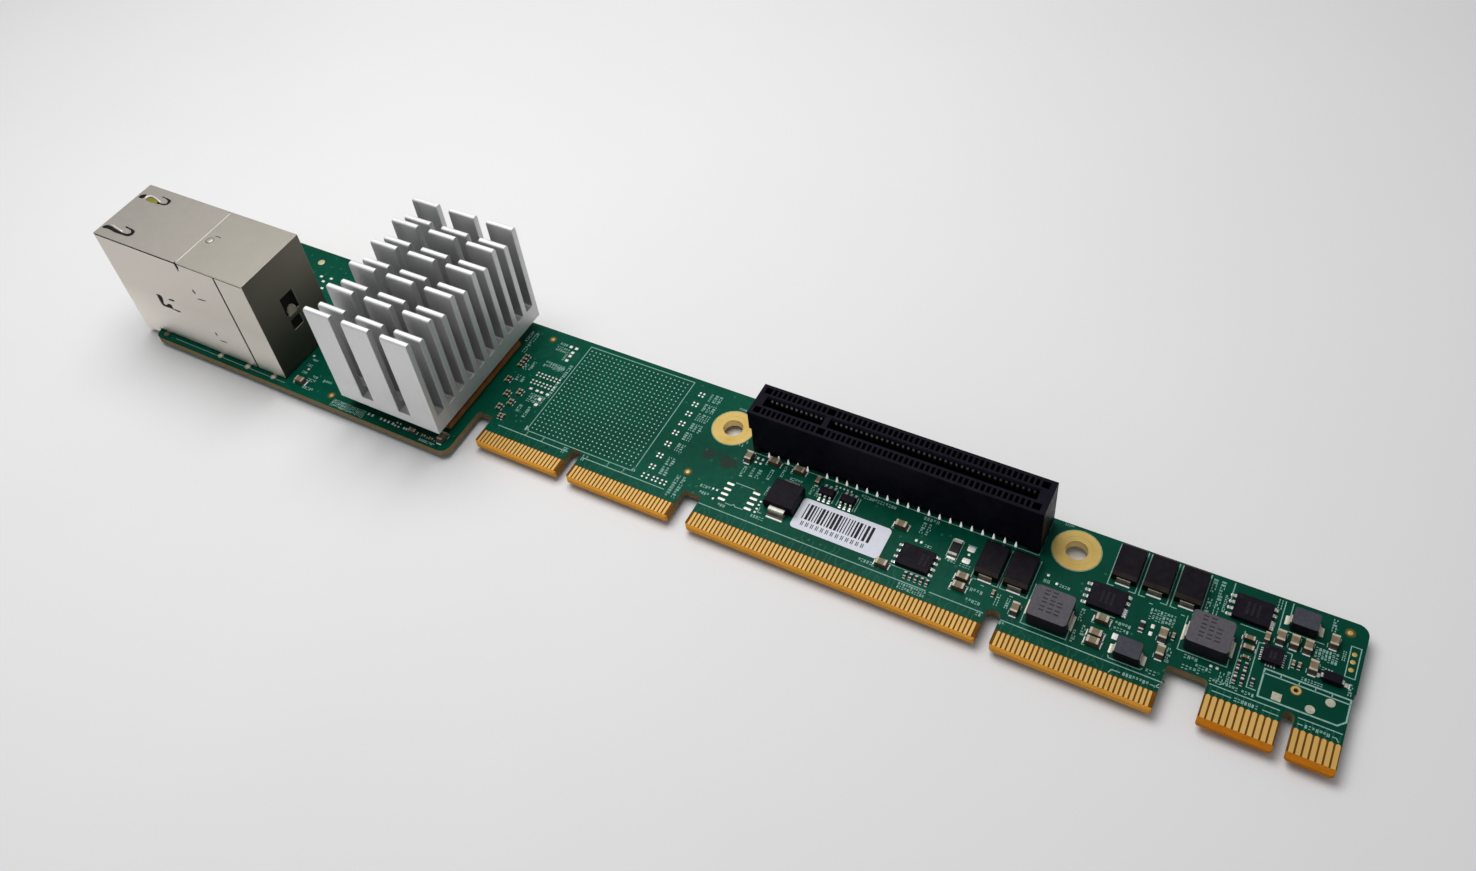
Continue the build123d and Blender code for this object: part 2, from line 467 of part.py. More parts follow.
# eight-lead chip
SX, SY = -17.65, 10.4
node("eight_lead_chip_body", bx(SX - 2.95, SX + 2.95, SY - 2.3, SY + 2.2, 0.22, 1.0))
for s in (-1, 1):
    xa, xb = sorted((SX + s * 2.2, SX + s * 3.3))
    for k in range(4):
        yy = SY - 1.905 + 1.27 * k
        node("eight_lead_chip_leads", bx(xa, xb, yy - 0.27, yy + 0.27, 0, 0.22))

# six-lead chips
for x, y in [(-37.6, 16.9), (-33.5, 16.9)]:
    node("six_lead_chip_bodies", moulded(x, y, 2.9, 1.6, 0.1, 1.15, 0.1))
    for s in (-1, 1):
        for k in (-1, 0, 1):
            node("six_lead_chip_leads", at(gull_y(y + s * 0.8, s, 0.1 + 1.05 * 0.45 + 0.08, 0.4, 0.4), x + 0.95 * k, 0))

# small square no-lead chip
QX, QY = 39.95, 17.0
node("square_chip_body", bx(QX - 1.55, QX + 1.55, QY - 1.5, QY + 1.5, 0.1, 0.95))
for k in range(6):
    o = -1.1 + 0.44 * k
    for s in (-1, 1):
        xa, xb = sorted((QX + s * 1.1, QX + s * 1.75))
        node("square_chip_leads", bx(xa, xb, QY + o - 0.11, QY + o + 0.11, 0, 0.1))
        ya, yb = sorted((QY + s * 1.36, QY + s * 1.7))
        if 0 < k < 5:
            node("square_chip_leads", bx(QX + o - 0.11, QX + o + 0.11, ya, yb, 0, 0.1))

# small diode
SDX, SDY = 48.85, 16.8
node("small_diode_body", moulded(SDX, SDY, 2.8, 1.7, 0.1, 1.2, 0.08))
for s in (-1, 1):
    node("small_diode_leads", at(gull_x(SDX + s * 1.4, s, 0.1 + 1.1 * 0.45 + 0.08, 0.75, 0.4), 0, SDY))

# ---------------------------------------------------------------- chip capacitors and resistors


def chip(body_node, cap_node, x, y, axis, L, W, H, T):
    e = 0.02
    if axis == "x":
        node(body_node, bx(x - L / 2 + T, x + L / 2 - T, y - W / 2 + e, y + W / 2 - e, e, H - e))
        node(cap_node, [bx(x - L / 2, x - L / 2 + T, y - W / 2, y + W / 2, 0, H),
                        bx(x + L / 2 - T, x + L / 2, y - W / 2, y + W / 2, 0, H)])
    else:
        node(body_node, bx(x - W / 2 + e, x + W / 2 - e, y - L / 2 + T, y + L / 2 - T, e, H - e))
        node(cap_node, [bx(x - W / 2, x + W / 2, y - L / 2, y - L / 2 + T, 0, H),
                        bx(x - W / 2, x + W / 2, y + L / 2 - T, y + L / 2, 0, H)])


BIG_CAPS = [(-22.7, 15.9, "x"), (-22.7, 7.1, "x"), (-9.1, 10.3, "x"), (-9.1, 8.3, "x"), (0.9, 8.2, "y"),
            (14.3, 12.2, "x"), (14.1, 9.2, "x"), (14.1, 7.6, "x"), (23.8, 13.6, "y"), (24.2, 10.4, "y"),
            (40.4, 21.0, "y"), (42.45, 21.0, "y"), (44.5, 21.0, "y"), (45.9, 17.7, "y"), (47.9, 23.6, "y"),
            (-54.5, 18.5, "y"), (-49.6, 19.3, "x"), (-44.4, 19.4, "x"), (-112.5, -2.1, "y"), (-150.3, -2.1, "x")]
for x, y, a in BIG_CAPS:
    chip("large_capacitor_bodies", "large_capacitor_ends", x, y, a, 2.0, 1.25, 1.15, 0.42)
MID_CAPS = [(-40.3, 18.9, "y"), (36.1, 18.7, "x"), (38.5, 20.1, "y"), (36.3, 16.9, "x"), (-119.3, -3.1, "x")]
for x, y, a in MID_CAPS:
    chip("medium_capacitor_bodies", "medium_capacitor_ends", x, y, a, 1.6, 0.8, 0.8, 0.32)
SMALL_CAPS = [(-3.4, 9.7, "y"), (25.3, 14.2, "y"), (36.3, 15.2, "x"), (43.05, 17.2, "y"), (43.95, 17.2, "y"),
              (-109.2, 23.3, "x"), (-109.2, 22.35, "x"), (-109.2, 21.4, "x"), (-109.2, 20.45, "x"),
              (-109.3, 16.8, "x"), (-109.3, 15.9, "x"), (-107.3, 13.5, "x"), (-107.3, 12.6, "x"),
              (-105.0, 14.8, "x"), (-105.0, 13.9, "x"), (-105.2, 11.8, "x"), (-105.2, 10.9, "x"),
              (-106.7, 9.9, "x"), (-106.7, 9.0, "x"), (-105.3, 7.5, "y"), (-104.5, 7.5, "y"),
              (-116.4, -3.2, "x"), (-114.5, -3.2, "x")]
for x, y, a in SMALL_CAPS:
    chip("small_capacitor_bodies", "small_capacitor_ends", x, y, a, 1.0, 0.5, 0.5, 0.22)
SMALL_RES = [(38.2, 11.4, "y"), (35.6, 13.7, "y"), (36.7, 13.7, "y"),
             (35.6, 12.2, "y"), (36.7, 12.2, "y"), (35.6, 10.7, "y"), (36.7, 10.7, "y"),
             (-18.2, 6.9, "y"), (-17.2, 6.9, "y"), (-16.2, 6.9, "y"), (-15.2, 6.9, "y"), (-14.2, 6.9, "y")]
for x, y, a in SMALL_RES:
    chip("small_resistor_bodies", "small_resistor_ends", x, y, a, 1.0, 0.5, 0.38, 0.22)
chip("small_resistor_bodies", "small_resistor_ends", 20.3, 13.9, "y", 1.6, 0.8, 0.45, 0.3)
chip("sense_resistor_body", "sense_resistor_ends", -12.4, 15.4, "y", 3.2, 1.6, 0.6, 0.5)

# ---------------------------------------------------------------- paper label
lab = Pos(-32.35, 11.17, 0) * RectangleRounded(17.3, 6.85, 0.8)
node("label", extrude(lab, amount=0.1, dir=(0, 0, 1)))

# ---------------------------------------------------------------- write one file per node
for name, solids in NODES.items():
    shape = solids[0] if len(solids) == 1 else Compound(solids)
    export_step(shape.moved(Location((X_OFF, Y_OFF, Z_OFF))), "parts/" + name + ".step")
print(len(NODES), "nodes,", sum(len(s) for s in NODES.values()), "solids")
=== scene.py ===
import math
import random

import bpy
from mathutils import Matrix, Vector


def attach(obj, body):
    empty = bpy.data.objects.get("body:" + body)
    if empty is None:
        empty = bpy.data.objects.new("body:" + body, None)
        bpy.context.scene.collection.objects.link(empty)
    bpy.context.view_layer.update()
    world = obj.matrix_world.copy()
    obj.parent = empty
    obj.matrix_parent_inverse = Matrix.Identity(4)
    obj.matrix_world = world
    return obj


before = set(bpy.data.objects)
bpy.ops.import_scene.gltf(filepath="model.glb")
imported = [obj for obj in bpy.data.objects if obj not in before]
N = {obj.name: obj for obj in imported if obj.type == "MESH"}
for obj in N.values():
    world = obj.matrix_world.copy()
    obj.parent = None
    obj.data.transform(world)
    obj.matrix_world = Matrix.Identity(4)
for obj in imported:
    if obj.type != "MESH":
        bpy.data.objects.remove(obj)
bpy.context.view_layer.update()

# drawing frame of the card (mm) -> row frame (m)
OX, OY, OZ = 71.975, -13.74, 2.7
RND = random.Random(7)


def m(x, y, z):
    return ((x + OX) / 1000.0, (y + OY) / 1000.0, (z + OZ) / 1000.0)


# ------------------------------------------------------------------ materials
class Shade:
    """A principled material with helpers to build its node network."""

    def __init__(self, name):
        self.m = bpy.data.materials.new(name)
        self.m.use_nodes = True
        self.nt = self.m.node_tree
        self.b = self.nt.nodes["Principled BSDF"]
        self.tc = self.nt.nodes.new("ShaderNodeTexCoord")

    def link(self, a, b):
        self.nt.links.new(a, b)

    def put(self, sock, v):
        if hasattr(v, "is_linked") or hasattr(v, "node"):
            self.link(v, sock)
        else:
            sock.default_value = v

    def math(self, op, a, b=0.0, c=None, clamp=False):
        n = self.nt.nodes.new("ShaderNodeMath")
        n.operation = op
        n.use_clamp = clamp
        self.put(n.inputs[0], a)
        self.put(n.inputs[1], b)
        if c is not None:
            self.put(n.inputs[2], c)
        return n.outputs[0]

    def coords(self, stretch=(1, 1, 1), rot=(0, 0, 0)):
        n = self.nt.nodes.new("ShaderNodeMapping")
        n.inputs["Scale"].default_value = stretch
        n.inputs["Rotation"].default_value = rot
        self.link(self.tc.outputs["Object"], n.inputs["Vector"])
        return n.outputs["Vector"]

    def noise(self, scale, detail=4.0, rough=0.55, vec=None, dist=0.0):
        n = self.nt.nodes.new("ShaderNodeTexNoise")
        n.inputs["Scale"].default_value = scale
        n.inputs["Detail"].default_value = detail
        n.inputs["Roughness"].default_value = rough
        n.inputs["Distortion"].default_value = dist
        self.link(vec if vec is not None else self.tc.outputs["Object"], n.inputs["Vector"])
        return n.outputs["Fac"]

    def voronoi(self, scale, vec=None, feature="F1"):
        n = self.nt.nodes.new("ShaderNodeTexVoronoi")
        n.feature = feature
        n.inputs["Scale"].default_value = scale
        self.link(vec if vec is not None else self.tc.outputs["Object"], n.inputs["Vector"])
        return n.outputs["Distance"]

    def span(self, fac, a, b, lo=0.0, hi=1.0, smooth=False):
        n = self.nt.nodes.new("ShaderNodeMapRange")
        if smooth:
            n.interpolation_type = "SMOOTHSTEP"
        self.put(n.inputs["Value"], fac)
        n.inputs["From Min"].default_value = a
        n.inputs["From Max"].default_value = b
        n.inputs["To Min"].default_value = lo
        n.inputs["To Max"].default_value = hi
        return n.outputs["Result"]

    def mix(self, fac, a, b):
        n = self.nt.nodes.new("ShaderNodeMix")
        n.data_type = "RGBA"
        self.put(n.inputs["Factor"], fac)
        for sock, v in ((n.inputs[6], a), (n.inputs[7], b)):
            if isinstance(v, (tuple, list)):
                sock.default_value = (v[0], v[1], v[2], 1.0)
            else:
                self.link(v, sock)
        return n.outputs[2]

    def bump(self, height, strength, dist, bevel=0.0):
        n = self.nt.nodes.new("ShaderNodeBump")
        n.inputs["Strength"].default_value = strength
        n.inputs["Distance"].default_value = dist
        self.link(height, n.inputs["Height"])
        if bevel > 0:
            e = self.nt.nodes.new("ShaderNodeBevel")
            e.samples = 4
            e.inputs["Radius"].default_value = bevel
            self.link(e.outputs["Normal"], n.inputs["Normal"])
        self.link(n.outputs["Normal"], self.b.inputs["Normal"])

    def xyz(self):
        n = self.nt.nodes.new("ShaderNodeSeparateXYZ")
        self.link(self.tc.outputs["Object"], n.inputs[0])
        # back to drawing millimetres
        return (self.math("MULTIPLY_ADD", n.outputs[0], 1000.0, -OX), self.math("MULTIPLY_ADD", n.outputs[1], 1000.0, -OY),
                self.math("MULTIPLY_ADD", n.outputs[2], 1000.0, -OZ))

    def normal(self):
        n = self.nt.nodes.new("ShaderNodeSeparateXYZ")
        self.link(self.tc.outputs["Normal"], n.inputs[0])
        return n.outputs[0], n.outputs[1], n.outputs[2]


def surf(name, c1, c2, scale, rough, metal=0.0, rvar=0.10, bump=0.15, bscale=None, bdist=0.00003, spec=0.5,
         stretch=(1, 1, 1), detail=5.0, bevel=0.0, coat=0.0, contrast=(0.35, 0.65)):
    s = Shade(name)
    v = s.coords(stretch)
    f = s.span(s.noise(scale, detail, vec=v), contrast[0], contrast[1])
    s.link(s.mix(f, c1, c2), s.b.inputs["Base Color"])
    g = s.noise(scale * 2.7, 3.0, vec=v)
    s.link(s.span(g, 0.3, 0.7, max(0.02, rough - rvar), min(1.0, rough + rvar)), s.b.inputs["Roughness"])
    s.b.inputs["Metallic"].default_value = metal
    s.b.inputs["Specular IOR Level"].default_value = spec
    if coat:
        s.b.inputs["Coat Weight"].default_value = coat
        s.b.inputs["Coat Roughness"].default_value = 0.12
    s.bump(s.noise(bscale or scale * 4.0, 3.0, vec=v), bump, bdist, bevel)
    return s


# solder mask, bare laminate at the tab tips, raw laminate on the cut edges
MASK_A, MASK_B, MASK_C = (0.0007, 0.0610, 0.0350), (0.0014, 0.0830, 0.0480), (0.0004, 0.0370, 0.0230)


def mask_colour(s, x, y):
    big = s.span(s.noise(55.0, 3.0), 0.40, 0.62)
    col = s.mix(big, MASK_A, MASK_B)
    # painted shade: the mask is darkened towards the x1 tab, standing in for the light falling off to the right
    col = s.mix(s.span(x, 0.0, 50.0, 0.0, 0.50), col, MASK_C)
    fine = s.span(s.noise(900.0, 4.0), 0.35, 0.75, 0.0, 0.45)
    return s.mix(fine, col, MASK_C)


def board_material():
    s = Shade("board_mask")
    x, y, z = s.xyz()
    nx, ny, nz = s.normal()
    flat = s.math("GREATER_THAN", s.math("ABSOLUTE", nz), 0.93)
    level = s.math("GREATER_THAN", s.math("ABSOLUTE", nz), 0.985)
    fine_x = s.math("MULTIPLY", s.math("GREATER_THAN", x, -107.2), s.math("LESS_THAN", x, 27.5))
    in_fine = s.math("MULTIPLY", fine_x, s.math("LESS_THAN", y, 3.40))
    in_x1 = s.math("MULTIPLY", s.math("GREATER_THAN", x, 31.5), s.math("LESS_THAN", y, 6.45))
    bare = s.math("MAXIMUM", in_fine, in_x1)
    green = mask_colour(s, x, y)
    # two faint rust-brown stains left beside the first mounting hole
    for cx, cy, r, k in ((-62.4, 15.9, 1.7, 0.9), (-57.9, 16.1, 1.8, 0.62)):
        dx = s.math("MULTIPLY", s.math("SUBTRACT", x, cx), k)
        dy = s.math("SUBTRACT", y, cy)
        d = s.math("SQRT", s.math("ADD", s.math("MULTIPLY", dx, dx), s.math("MULTIPLY", dy, dy)))
        d = s.math("ADD", d, s.span(s.noise(420.0, 3.0), 0.3, 0.7, -0.7, 0.7))
        on_top = s.math("MULTIPLY", s.span(d, r * 0.45, r, 0.75, 0.0, True), s.math("GREATER_THAN", nz, 0.5))
        green = s.mix(on_top, green, (0.024, 0.028, 0.024))
    grain = s.span(s.noise(700.0, 4.0, vec=s.coords((1, 1, 6))), 0.3, 0.7)
    amber = s.mix(grain, (0.125, 0.048, 0.003), (0.170, 0.067, 0.006))
    deep = s.mix(grain, (0.115, 0.044, 0.002), (0.155, 0.060, 0.004))
    amber = s.mix(s.math("GREATER_THAN", x, 30.0), amber, deep)
    # the bevelled lead-in is a paler amber, and its colour is raised further as painted light for the shade on the
    # front faces
    tip_y = s.mix(s.math("GREATER_THAN", x, 30.0), (0.46, 0.46, 0.46), (2.2, 2.2, 2.2))
    tip_g = s.nt.nodes.new("ShaderNodeSeparateXYZ")
    s.link(tip_y, tip_g.inputs[0])
    tip = s.math("LESS_THAN", y, tip_g.outputs[0])
    pale = s.mix(grain, (0.670, 0.285, 0.030), (0.770, 0.340, 0.044))
    pale = s.mix(s.math("GREATER_THAN", x, 30.0), pale, s.mix(grain, (0.480, 0.150, 0.005), (0.560, 0.190, 0.010)))
    edge = s.mix(grain, (0.195, 0.142, 0.068), (0.280, 0.208, 0.102))
    front = s.math("MULTIPLY", s.math("LESS_THAN", y, 3.2), s.math("MULTIPLY", s.math("GREATER_THAN", x, -107.2), s.math("LESS_THAN", x, 27.5)))
    front = s.math("MAXIMUM", front, in_x1)
    # painted light: front-facing cut faces of the tabs get the pale colour, the other cut faces a darker amber
    side = s.mix(front, edge, s.mix(s.math("LESS_THAN", ny, -0.3), s.mix(grain, (0.260, 0.120, 0.026), (0.340, 0.170, 0.042)), pale))
    side = s.mix(s.math("MULTIPLY", tip, front), side, pale)
    top = s.mix(bare, green, s.mix(tip, amber, pale))
    # a fin of mask colour runs over the rim of the cut edge
    s.link(s.mix(s.math("MULTIPLY", flat, level), side, top), s.b.inputs["Base Color"])
    gloss = s.math("MULTIPLY", level, s.math("SUBTRACT", 1.0, bare))
    n1 = s.span(s.noise(260.0, 4.0), 0.3, 0.7, 0.30, 0.42)
    rough = s.math("ADD", s.math("MULTIPLY", gloss, n1), s.math("MULTIPLY", s.math("SUBTRACT", 1.0, gloss), 0.55))
    s.link(rough, s.b.inputs["Roughness"])
    s.b.inputs["Specular IOR Level"].default_value = 0.05
    # woven glass shows faintly through the mask
    w = s.math("ADD", s.math("SINE", s.math("MULTIPLY", x, 9.0)), s.math("SINE", s.math("MULTIPLY", y, 9.0)))
    h = s.math("ADD", s.math("MULTIPLY", w, 0.12), s.noise(1500.0, 3.0))
    s.bump(h, 0.07, 0.00003, 0.00012)
    return s.m


MAT = {}
MAT["board"] = board_material()
MAT["trace"] = surf("mask_over_copper", (0.0026, 0.0800, 0.0500), (0.0042, 0.0960, 0.0610), 500, 0.33, bump=0.05, spec=0.12).m
MAT["via"] = surf("tented_via", (0.010, 0.105, 0.070), (0.026, 0.145, 0.102), 900, 0.35, bump=0.1, spec=0.12).m
MAT["silk"] = surf("silk_ink", (0.190, 0.370, 0.320), (0.300, 0.480, 0.420), 2200, 0.65, bump=0.2, bscale=9000, bdist=0.00002, spec=0.2).m
MAT["gold"] = surf("edge_gold", (0.580, 0.350, 0.088), (0.660, 0.405, 0.114), 260, 0.56, metal=0.40, rvar=0.04, bump=0.03, bscale=3000,
                   stretch=(1, 0.25, 1), bdist=0.00002, contrast=(0.30, 0.70)).m
MAT["land"] = surf("land_gold", (0.50, 0.345, 0.095), (0.57, 0.405, 0.125), 240, 0.50, metal=0.50, rvar=0.05, bump=0.06, bscale=3000,
                   bdist=0.00003).m
MAT["land_line"] = surf("land_line", (0.46, 0.290, 0.062), (0.56, 0.360, 0.085), 500, 0.5, metal=0.6, bump=0.1).m
MAT["land_pale"] = surf("land_pale", (0.50, 0.46, 0.26), (0.62, 0.57, 0.36), 900, 0.45, metal=0.4, bump=0.15).m
MAT["tin"] = surf("bright_tin", (0.58, 0.57, 0.54), (0.78, 0.77, 0.74), 1300, 0.34, metal=0.85, rvar=0.08, bump=0.20, bscale=3000, bdist=0.00004,
                  bevel=0.00006).m
MAT["solder"] = surf("solder", (0.70, 0.69, 0.66), (0.84, 0.83, 0.79), 500, 0.30, metal=0.8, rvar=0.05, bump=0.05, bscale=1200, bdist=0.00003).m
MAT["joint_shade"] = surf("joint_shade", (0.060, 0.052, 0.044), (0.120, 0.108, 0.094), 900, 0.5, metal=0.4, bump=0.15).m
MAT["solder_dull"] = surf("solder_dull", (0.40, 0.385, 0.285), (0.56, 0.545, 0.430), 1300, 0.42, metal=0.5, rvar=0.08, bump=0.25, bscale=2500,
                          bdist=0.00005).m
MAT["solder_brown"] = surf("solder_brown", (0.085, 0.075, 0.050), (0.165, 0.150, 0.105), 1300, 0.5, metal=0.4, bump=0.25, bscale=2500, bdist=0.00005).m
# painted highlight: near-white, mostly diffuse tin standing in for the glint on solder toes and lead ends
MAT["painted_tin_glint"] = surf("painted_tin_glint", (0.93, 0.92, 0.91), (0.98, 0.97, 0.96), 900, 0.42, metal=0.15, rvar=0.03, bump=0.03, bscale=2000).m
# painted highlight: the slot tails are near-white and glow with a faint emission, though they are no lamp
glowing_tail_highlight = surf("glowing_tail_highlight", (0.93, 0.92, 0.91), (0.98, 0.97, 0.96), 900, 0.34, metal=0.10, rvar=0.03, bump=0.03, bscale=2000)
glowing_tail_highlight.b.inputs["Emission Color"].default_value = (1.0, 0.99, 0.97, 1.0)
glowing_tail_highlight.b.inputs["Emission Strength"].default_value = 0.40
MAT["glowing_tail_highlight"] = glowing_tail_highlight.m
MAT["solder_cream"] = surf("solder_cream", (0.56, 0.53, 0.44), (0.70, 0.67, 0.58), 500, 0.40, metal=0.35, rvar=0.05, bump=0.05, bscale=1200).m
MAT["pad"] = surf("bare_pad", (0.66, 0.66, 0.62), (0.84, 0.84, 0.80), 2500, 0.42, metal=0.3, bump=0.2, bscale=6000, bdist=0.00003).m
MAT["dot"] = surf("array_pad", (0.27, 0.38, 0.33), (0.54, 0.64, 0.58), 1500, 0.40, metal=0.3, bump=0.2, bscale=6000, bdist=0.00003).m
MAT["slot"] = surf("slot_plastic", (0.0044, 0.0031, 0.0082), (0.0072, 0.0052, 0.0126), 500, 0.42, rvar=0.08, bump=0.12, bscale=5000,
                   bdist=0.00003, spec=0.05, bevel=0.00012).m
MAT["jack_black"] = surf("jack_plastic", (0.0060, 0.0058, 0.0060), (0.0120, 0.0112, 0.0110), 900, 0.5, bump=0.2, bscale=6000, bevel=0.0001, spec=0.12).m
MAT["pipe"] = surf("light_pipe", (0.145, 0.140, 0.010), (0.240, 0.235, 0.022), 260, 0.30, bump=0.08, spec=0.3).m
# painted shade: the thermal tape is coloured near-black for the shadow under the heatsink
MAT["tape"] = surf("thermal_tape", (0.030, 0.022, 0.020), (0.050, 0.038, 0.034), 800, 0.7, bump=0.3, spec=0.1).m
MAT["die"] = surf("silicon", (0.10, 0.105, 0.12), (0.16, 0.165, 0.18), 300, 0.15, metal=0.8, bump=0.05).m
MAT["substrate"] = surf("substrate", (0.260, 0.085, 0.016), (0.350, 0.125, 0.028), 600, 0.45, bump=0.15, bevel=0.00008).m
MAT["mould"] = surf("mould_black", (0.0056, 0.0038, 0.0084), (0.0100, 0.0072, 0.0142), 900, 0.50, rvar=0.08, bump=0.25, bscale=7000,
                    bdist=0.00004, bevel=0.00010, spec=0.08).m


def tantalum_mould():
    s = Shade("mould_warm")
    nx, ny, nz = s.normal()
    g = s.span(s.noise(800.0, 5.0), 0.35, 0.65)
    body = s.mix(g, (0.0058, 0.0043, 0.0068), (0.0104, 0.0082, 0.0120))
    band = s.math("MULTIPLY", s.math("LESS_THAN", ny, -0.3), s.math("GREATER_THAN", nz, 0.3))
    s.link(s.mix(band, body, s.mix(g, (0.028, 0.022, 0.020), (0.040, 0.032, 0.028))), s.b.inputs["Base Color"])
    s.link(s.span(s.noise(2100.0, 3.0), 0.3, 0.7, 0.40, 0.54), s.b.inputs["Roughness"])
    s.b.inputs["Specular IOR Level"].default_value = 0.07
    s.bump(s.noise(6000.0, 3.0), 0.25, 0.00004, 0.00010)
    return s.m


MAT["mould_warm"] = tantalum_mould()
MAT["mark"] = surf("laser_mark", (0.026, 0.023, 0.027), (0.040, 0.036, 0.041), 1500, 0.7, bump=0.2, spec=0.1).m
MAT["resistor"] = surf("resistor_film", (0.0075, 0.0068, 0.0080), (0.0150, 0.0135, 0.0150), 1400, 0.36, bump=0.12, bevel=0.00005, spec=0.2).m
MAT["ink"] = surf("label_ink", (0.012, 0.012, 0.015), (0.030, 0.030, 0.034), 2500, 0.75, bump=0.2, spec=0.15).m
# painted shade: near-black strips laid along the jack's fold lines, seam and notch
MAT["fold_shade"] = surf("painted_gap_shade", (0.0045, 0.0040, 0.0038), (0.0090, 0.0080, 0.0075), 900, 0.8, bump=0.1, spec=0.05).m
# painted shade: mid-dark marks standing in for the shade in the jack's pressed dimples and creases
MAT["crease_shade"] = surf("painted_crease_shade", (0.060, 0.055, 0.048), (0.105, 0.096, 0.084), 900, 0.7, bump=0.1, spec=0.1).m
MAT["amber"] = surf("bare_laminate", (0.095, 0.060, 0.012), (0.150, 0.095, 0.022), 900, 0.5, bump=0.1, spec=0.2).m
MAT["ink_mark"] = surf("pressed_mark", (0.026, 0.022, 0.026), (0.044, 0.038, 0.043), 1800, 0.7, bump=0.2, spec=0.1).m


def lit_and_shaded(name, top1, top2, side1, side2, rough, metal=0.0, spec=0.3, bevel=0.00008):
    # painted light: a lighter upper face and painted shade on the standing faces of a small chip part
    s = Shade(name)
    nx, ny, nz = s.normal()
    g = s.span(s.noise(1300.0, 4.0), 0.35, 0.65)
    up = s.span(nz, 0.35, 0.85)
    s.link(s.mix(up, s.mix(g, side1, side2), s.mix(g, top1, top2)), s.b.inputs["Base Color"])
    s.link(s.span(s.noise(900.0, 3.0), 0.3, 0.7, rough - 0.06, rough + 0.06), s.b.inputs["Roughness"])
    s.b.inputs["Metallic"].default_value = metal
    s.b.inputs["Specular IOR Level"].default_value = spec
    s.bump(s.noise(5000.0, 3.0), 0.15, 0.00003, bevel)
    return s.m



def slot_contact():
    s = Shade("slot_contact")
    x, y, z = s.xyz()
    # painted light: a pale crown on each contact as a painted highlight, fading towards the right, over a near-black
    # body of painted shade
    tip = s.math("MULTIPLY", s.span(z, 10.15, 10.45, 0.0, 1.0, True), s.span(x, -52.0, 0.0, 0.92, 0.28))
    g = s.span(s.noise(900.0, 3.0), 0.3, 0.7)
    painted_shade = s.mix(g, (0.0085, 0.0075, 0.0085), (0.016, 0.014, 0.015))
    s.link(s.mix(tip, painted_shade, (0.62, 0.60, 0.58)), s.b.inputs["Base Color"])
    s.link(s.span(g, 0.0, 1.0, 0.40, 0.50), s.b.inputs["Roughness"])
    s.b.inputs["Metallic"].default_value = 0.2
    s.b.inputs["Specular IOR Level"].default_value = 0.1
    s.bump(s.noise(5000.0, 2.0), 0.05, 0.00002)
    return s.m


MAT["slot_pin"] = slot_contact()
MAT["ceramic"] = lit_and_shaded("ceramic_tan", (0.165, 0.125, 0.072), (0.240, 0.188, 0.115), (0.105, 0.064, 0.036), (0.160, 0.105, 0.064), 0.45)
MAT["cap_end"] = lit_and_shaded("fired_end", (0.430, 0.360, 0.270), (0.560, 0.490, 0.390), (0.085, 0.058, 0.042), (0.150, 0.110, 0.084), 0.45, 0.15)
MAT["strap"] = lit_and_shaded("tinned_strap", (0.520, 0.490, 0.420), (0.640, 0.610, 0.540), (0.300, 0.260, 0.190), (0.400, 0.350, 0.270), 0.40, 0.35)
MAT["strap_tan"] = lit_and_shaded("tan_strap", (0.420, 0.380, 0.300), (0.540, 0.500, 0.420), (0.200, 0.170, 0.120), (0.290, 0.250, 0.185), 0.40, 0.35)
MAT["res_end"] = lit_and_shaded("plated_end", (0.380, 0.360, 0.330), (0.520, 0.500, 0.470), (0.240, 0.220, 0.200), (0.340, 0.320, 0.300), 0.40, 0.4)


def ferrite(name, top, side, speck):
    # pressed powder: sides painted darker as painted shade, speckled worn top
    s = Shade(name)
    nx, ny, nz = s.normal()
    up = s.span(nz, 0.4, 0.9)
    g = s.span(s.noise(1500.0, 6.0, 0.7), 0.35, 0.7)
    t = s.mix(g, top, speck)
    s.link(s.mix(up, side, t), s.b.inputs["Base Color"])
    s.link(s.span(s.noise(800.0, 3.0), 0.3, 0.7, 0.42, 0.62), s.b.inputs["Roughness"])
    s.b.inputs["Metallic"].default_value = 0.05
    s.b.inputs["Specular IOR Level"].default_value = 0.15
    s.bump(s.noise(3800.0, 4.0, 0.7), 0.3, 0.00005, 0.00018)
    return s.m


MAT["ferrite"] = ferrite("ferrite_grey", (0.082, 0.076, 0.090), (0.015, 0.014, 0.022), (0.112, 0.105, 0.122))
MAT["ferrite_blue"] = ferrite("ferrite_blue", (0.044, 0.044, 0.060), (0.006, 0.005, 0.008), (0.070, 0.069, 0.090))


def paper():
    s = Shade("label_paper")
    g = s.span(s.noise(2600.0, 6.0, 0.7), 0.3, 0.7)
    s.link(s.mix(g, (0.65, 0.68, 0.765), (0.73, 0.76, 0.835)), s.b.inputs["Base Color"])
    s.link(s.span(s.noise(700.0, 3.0), 0.3, 0.7, 0.45, 0.6), s.b.inputs["Roughness"])
    s.bump(s.noise(6000.0, 4.0), 0.2, 0.00002)
    return s.m


MAT["paper"] = paper()


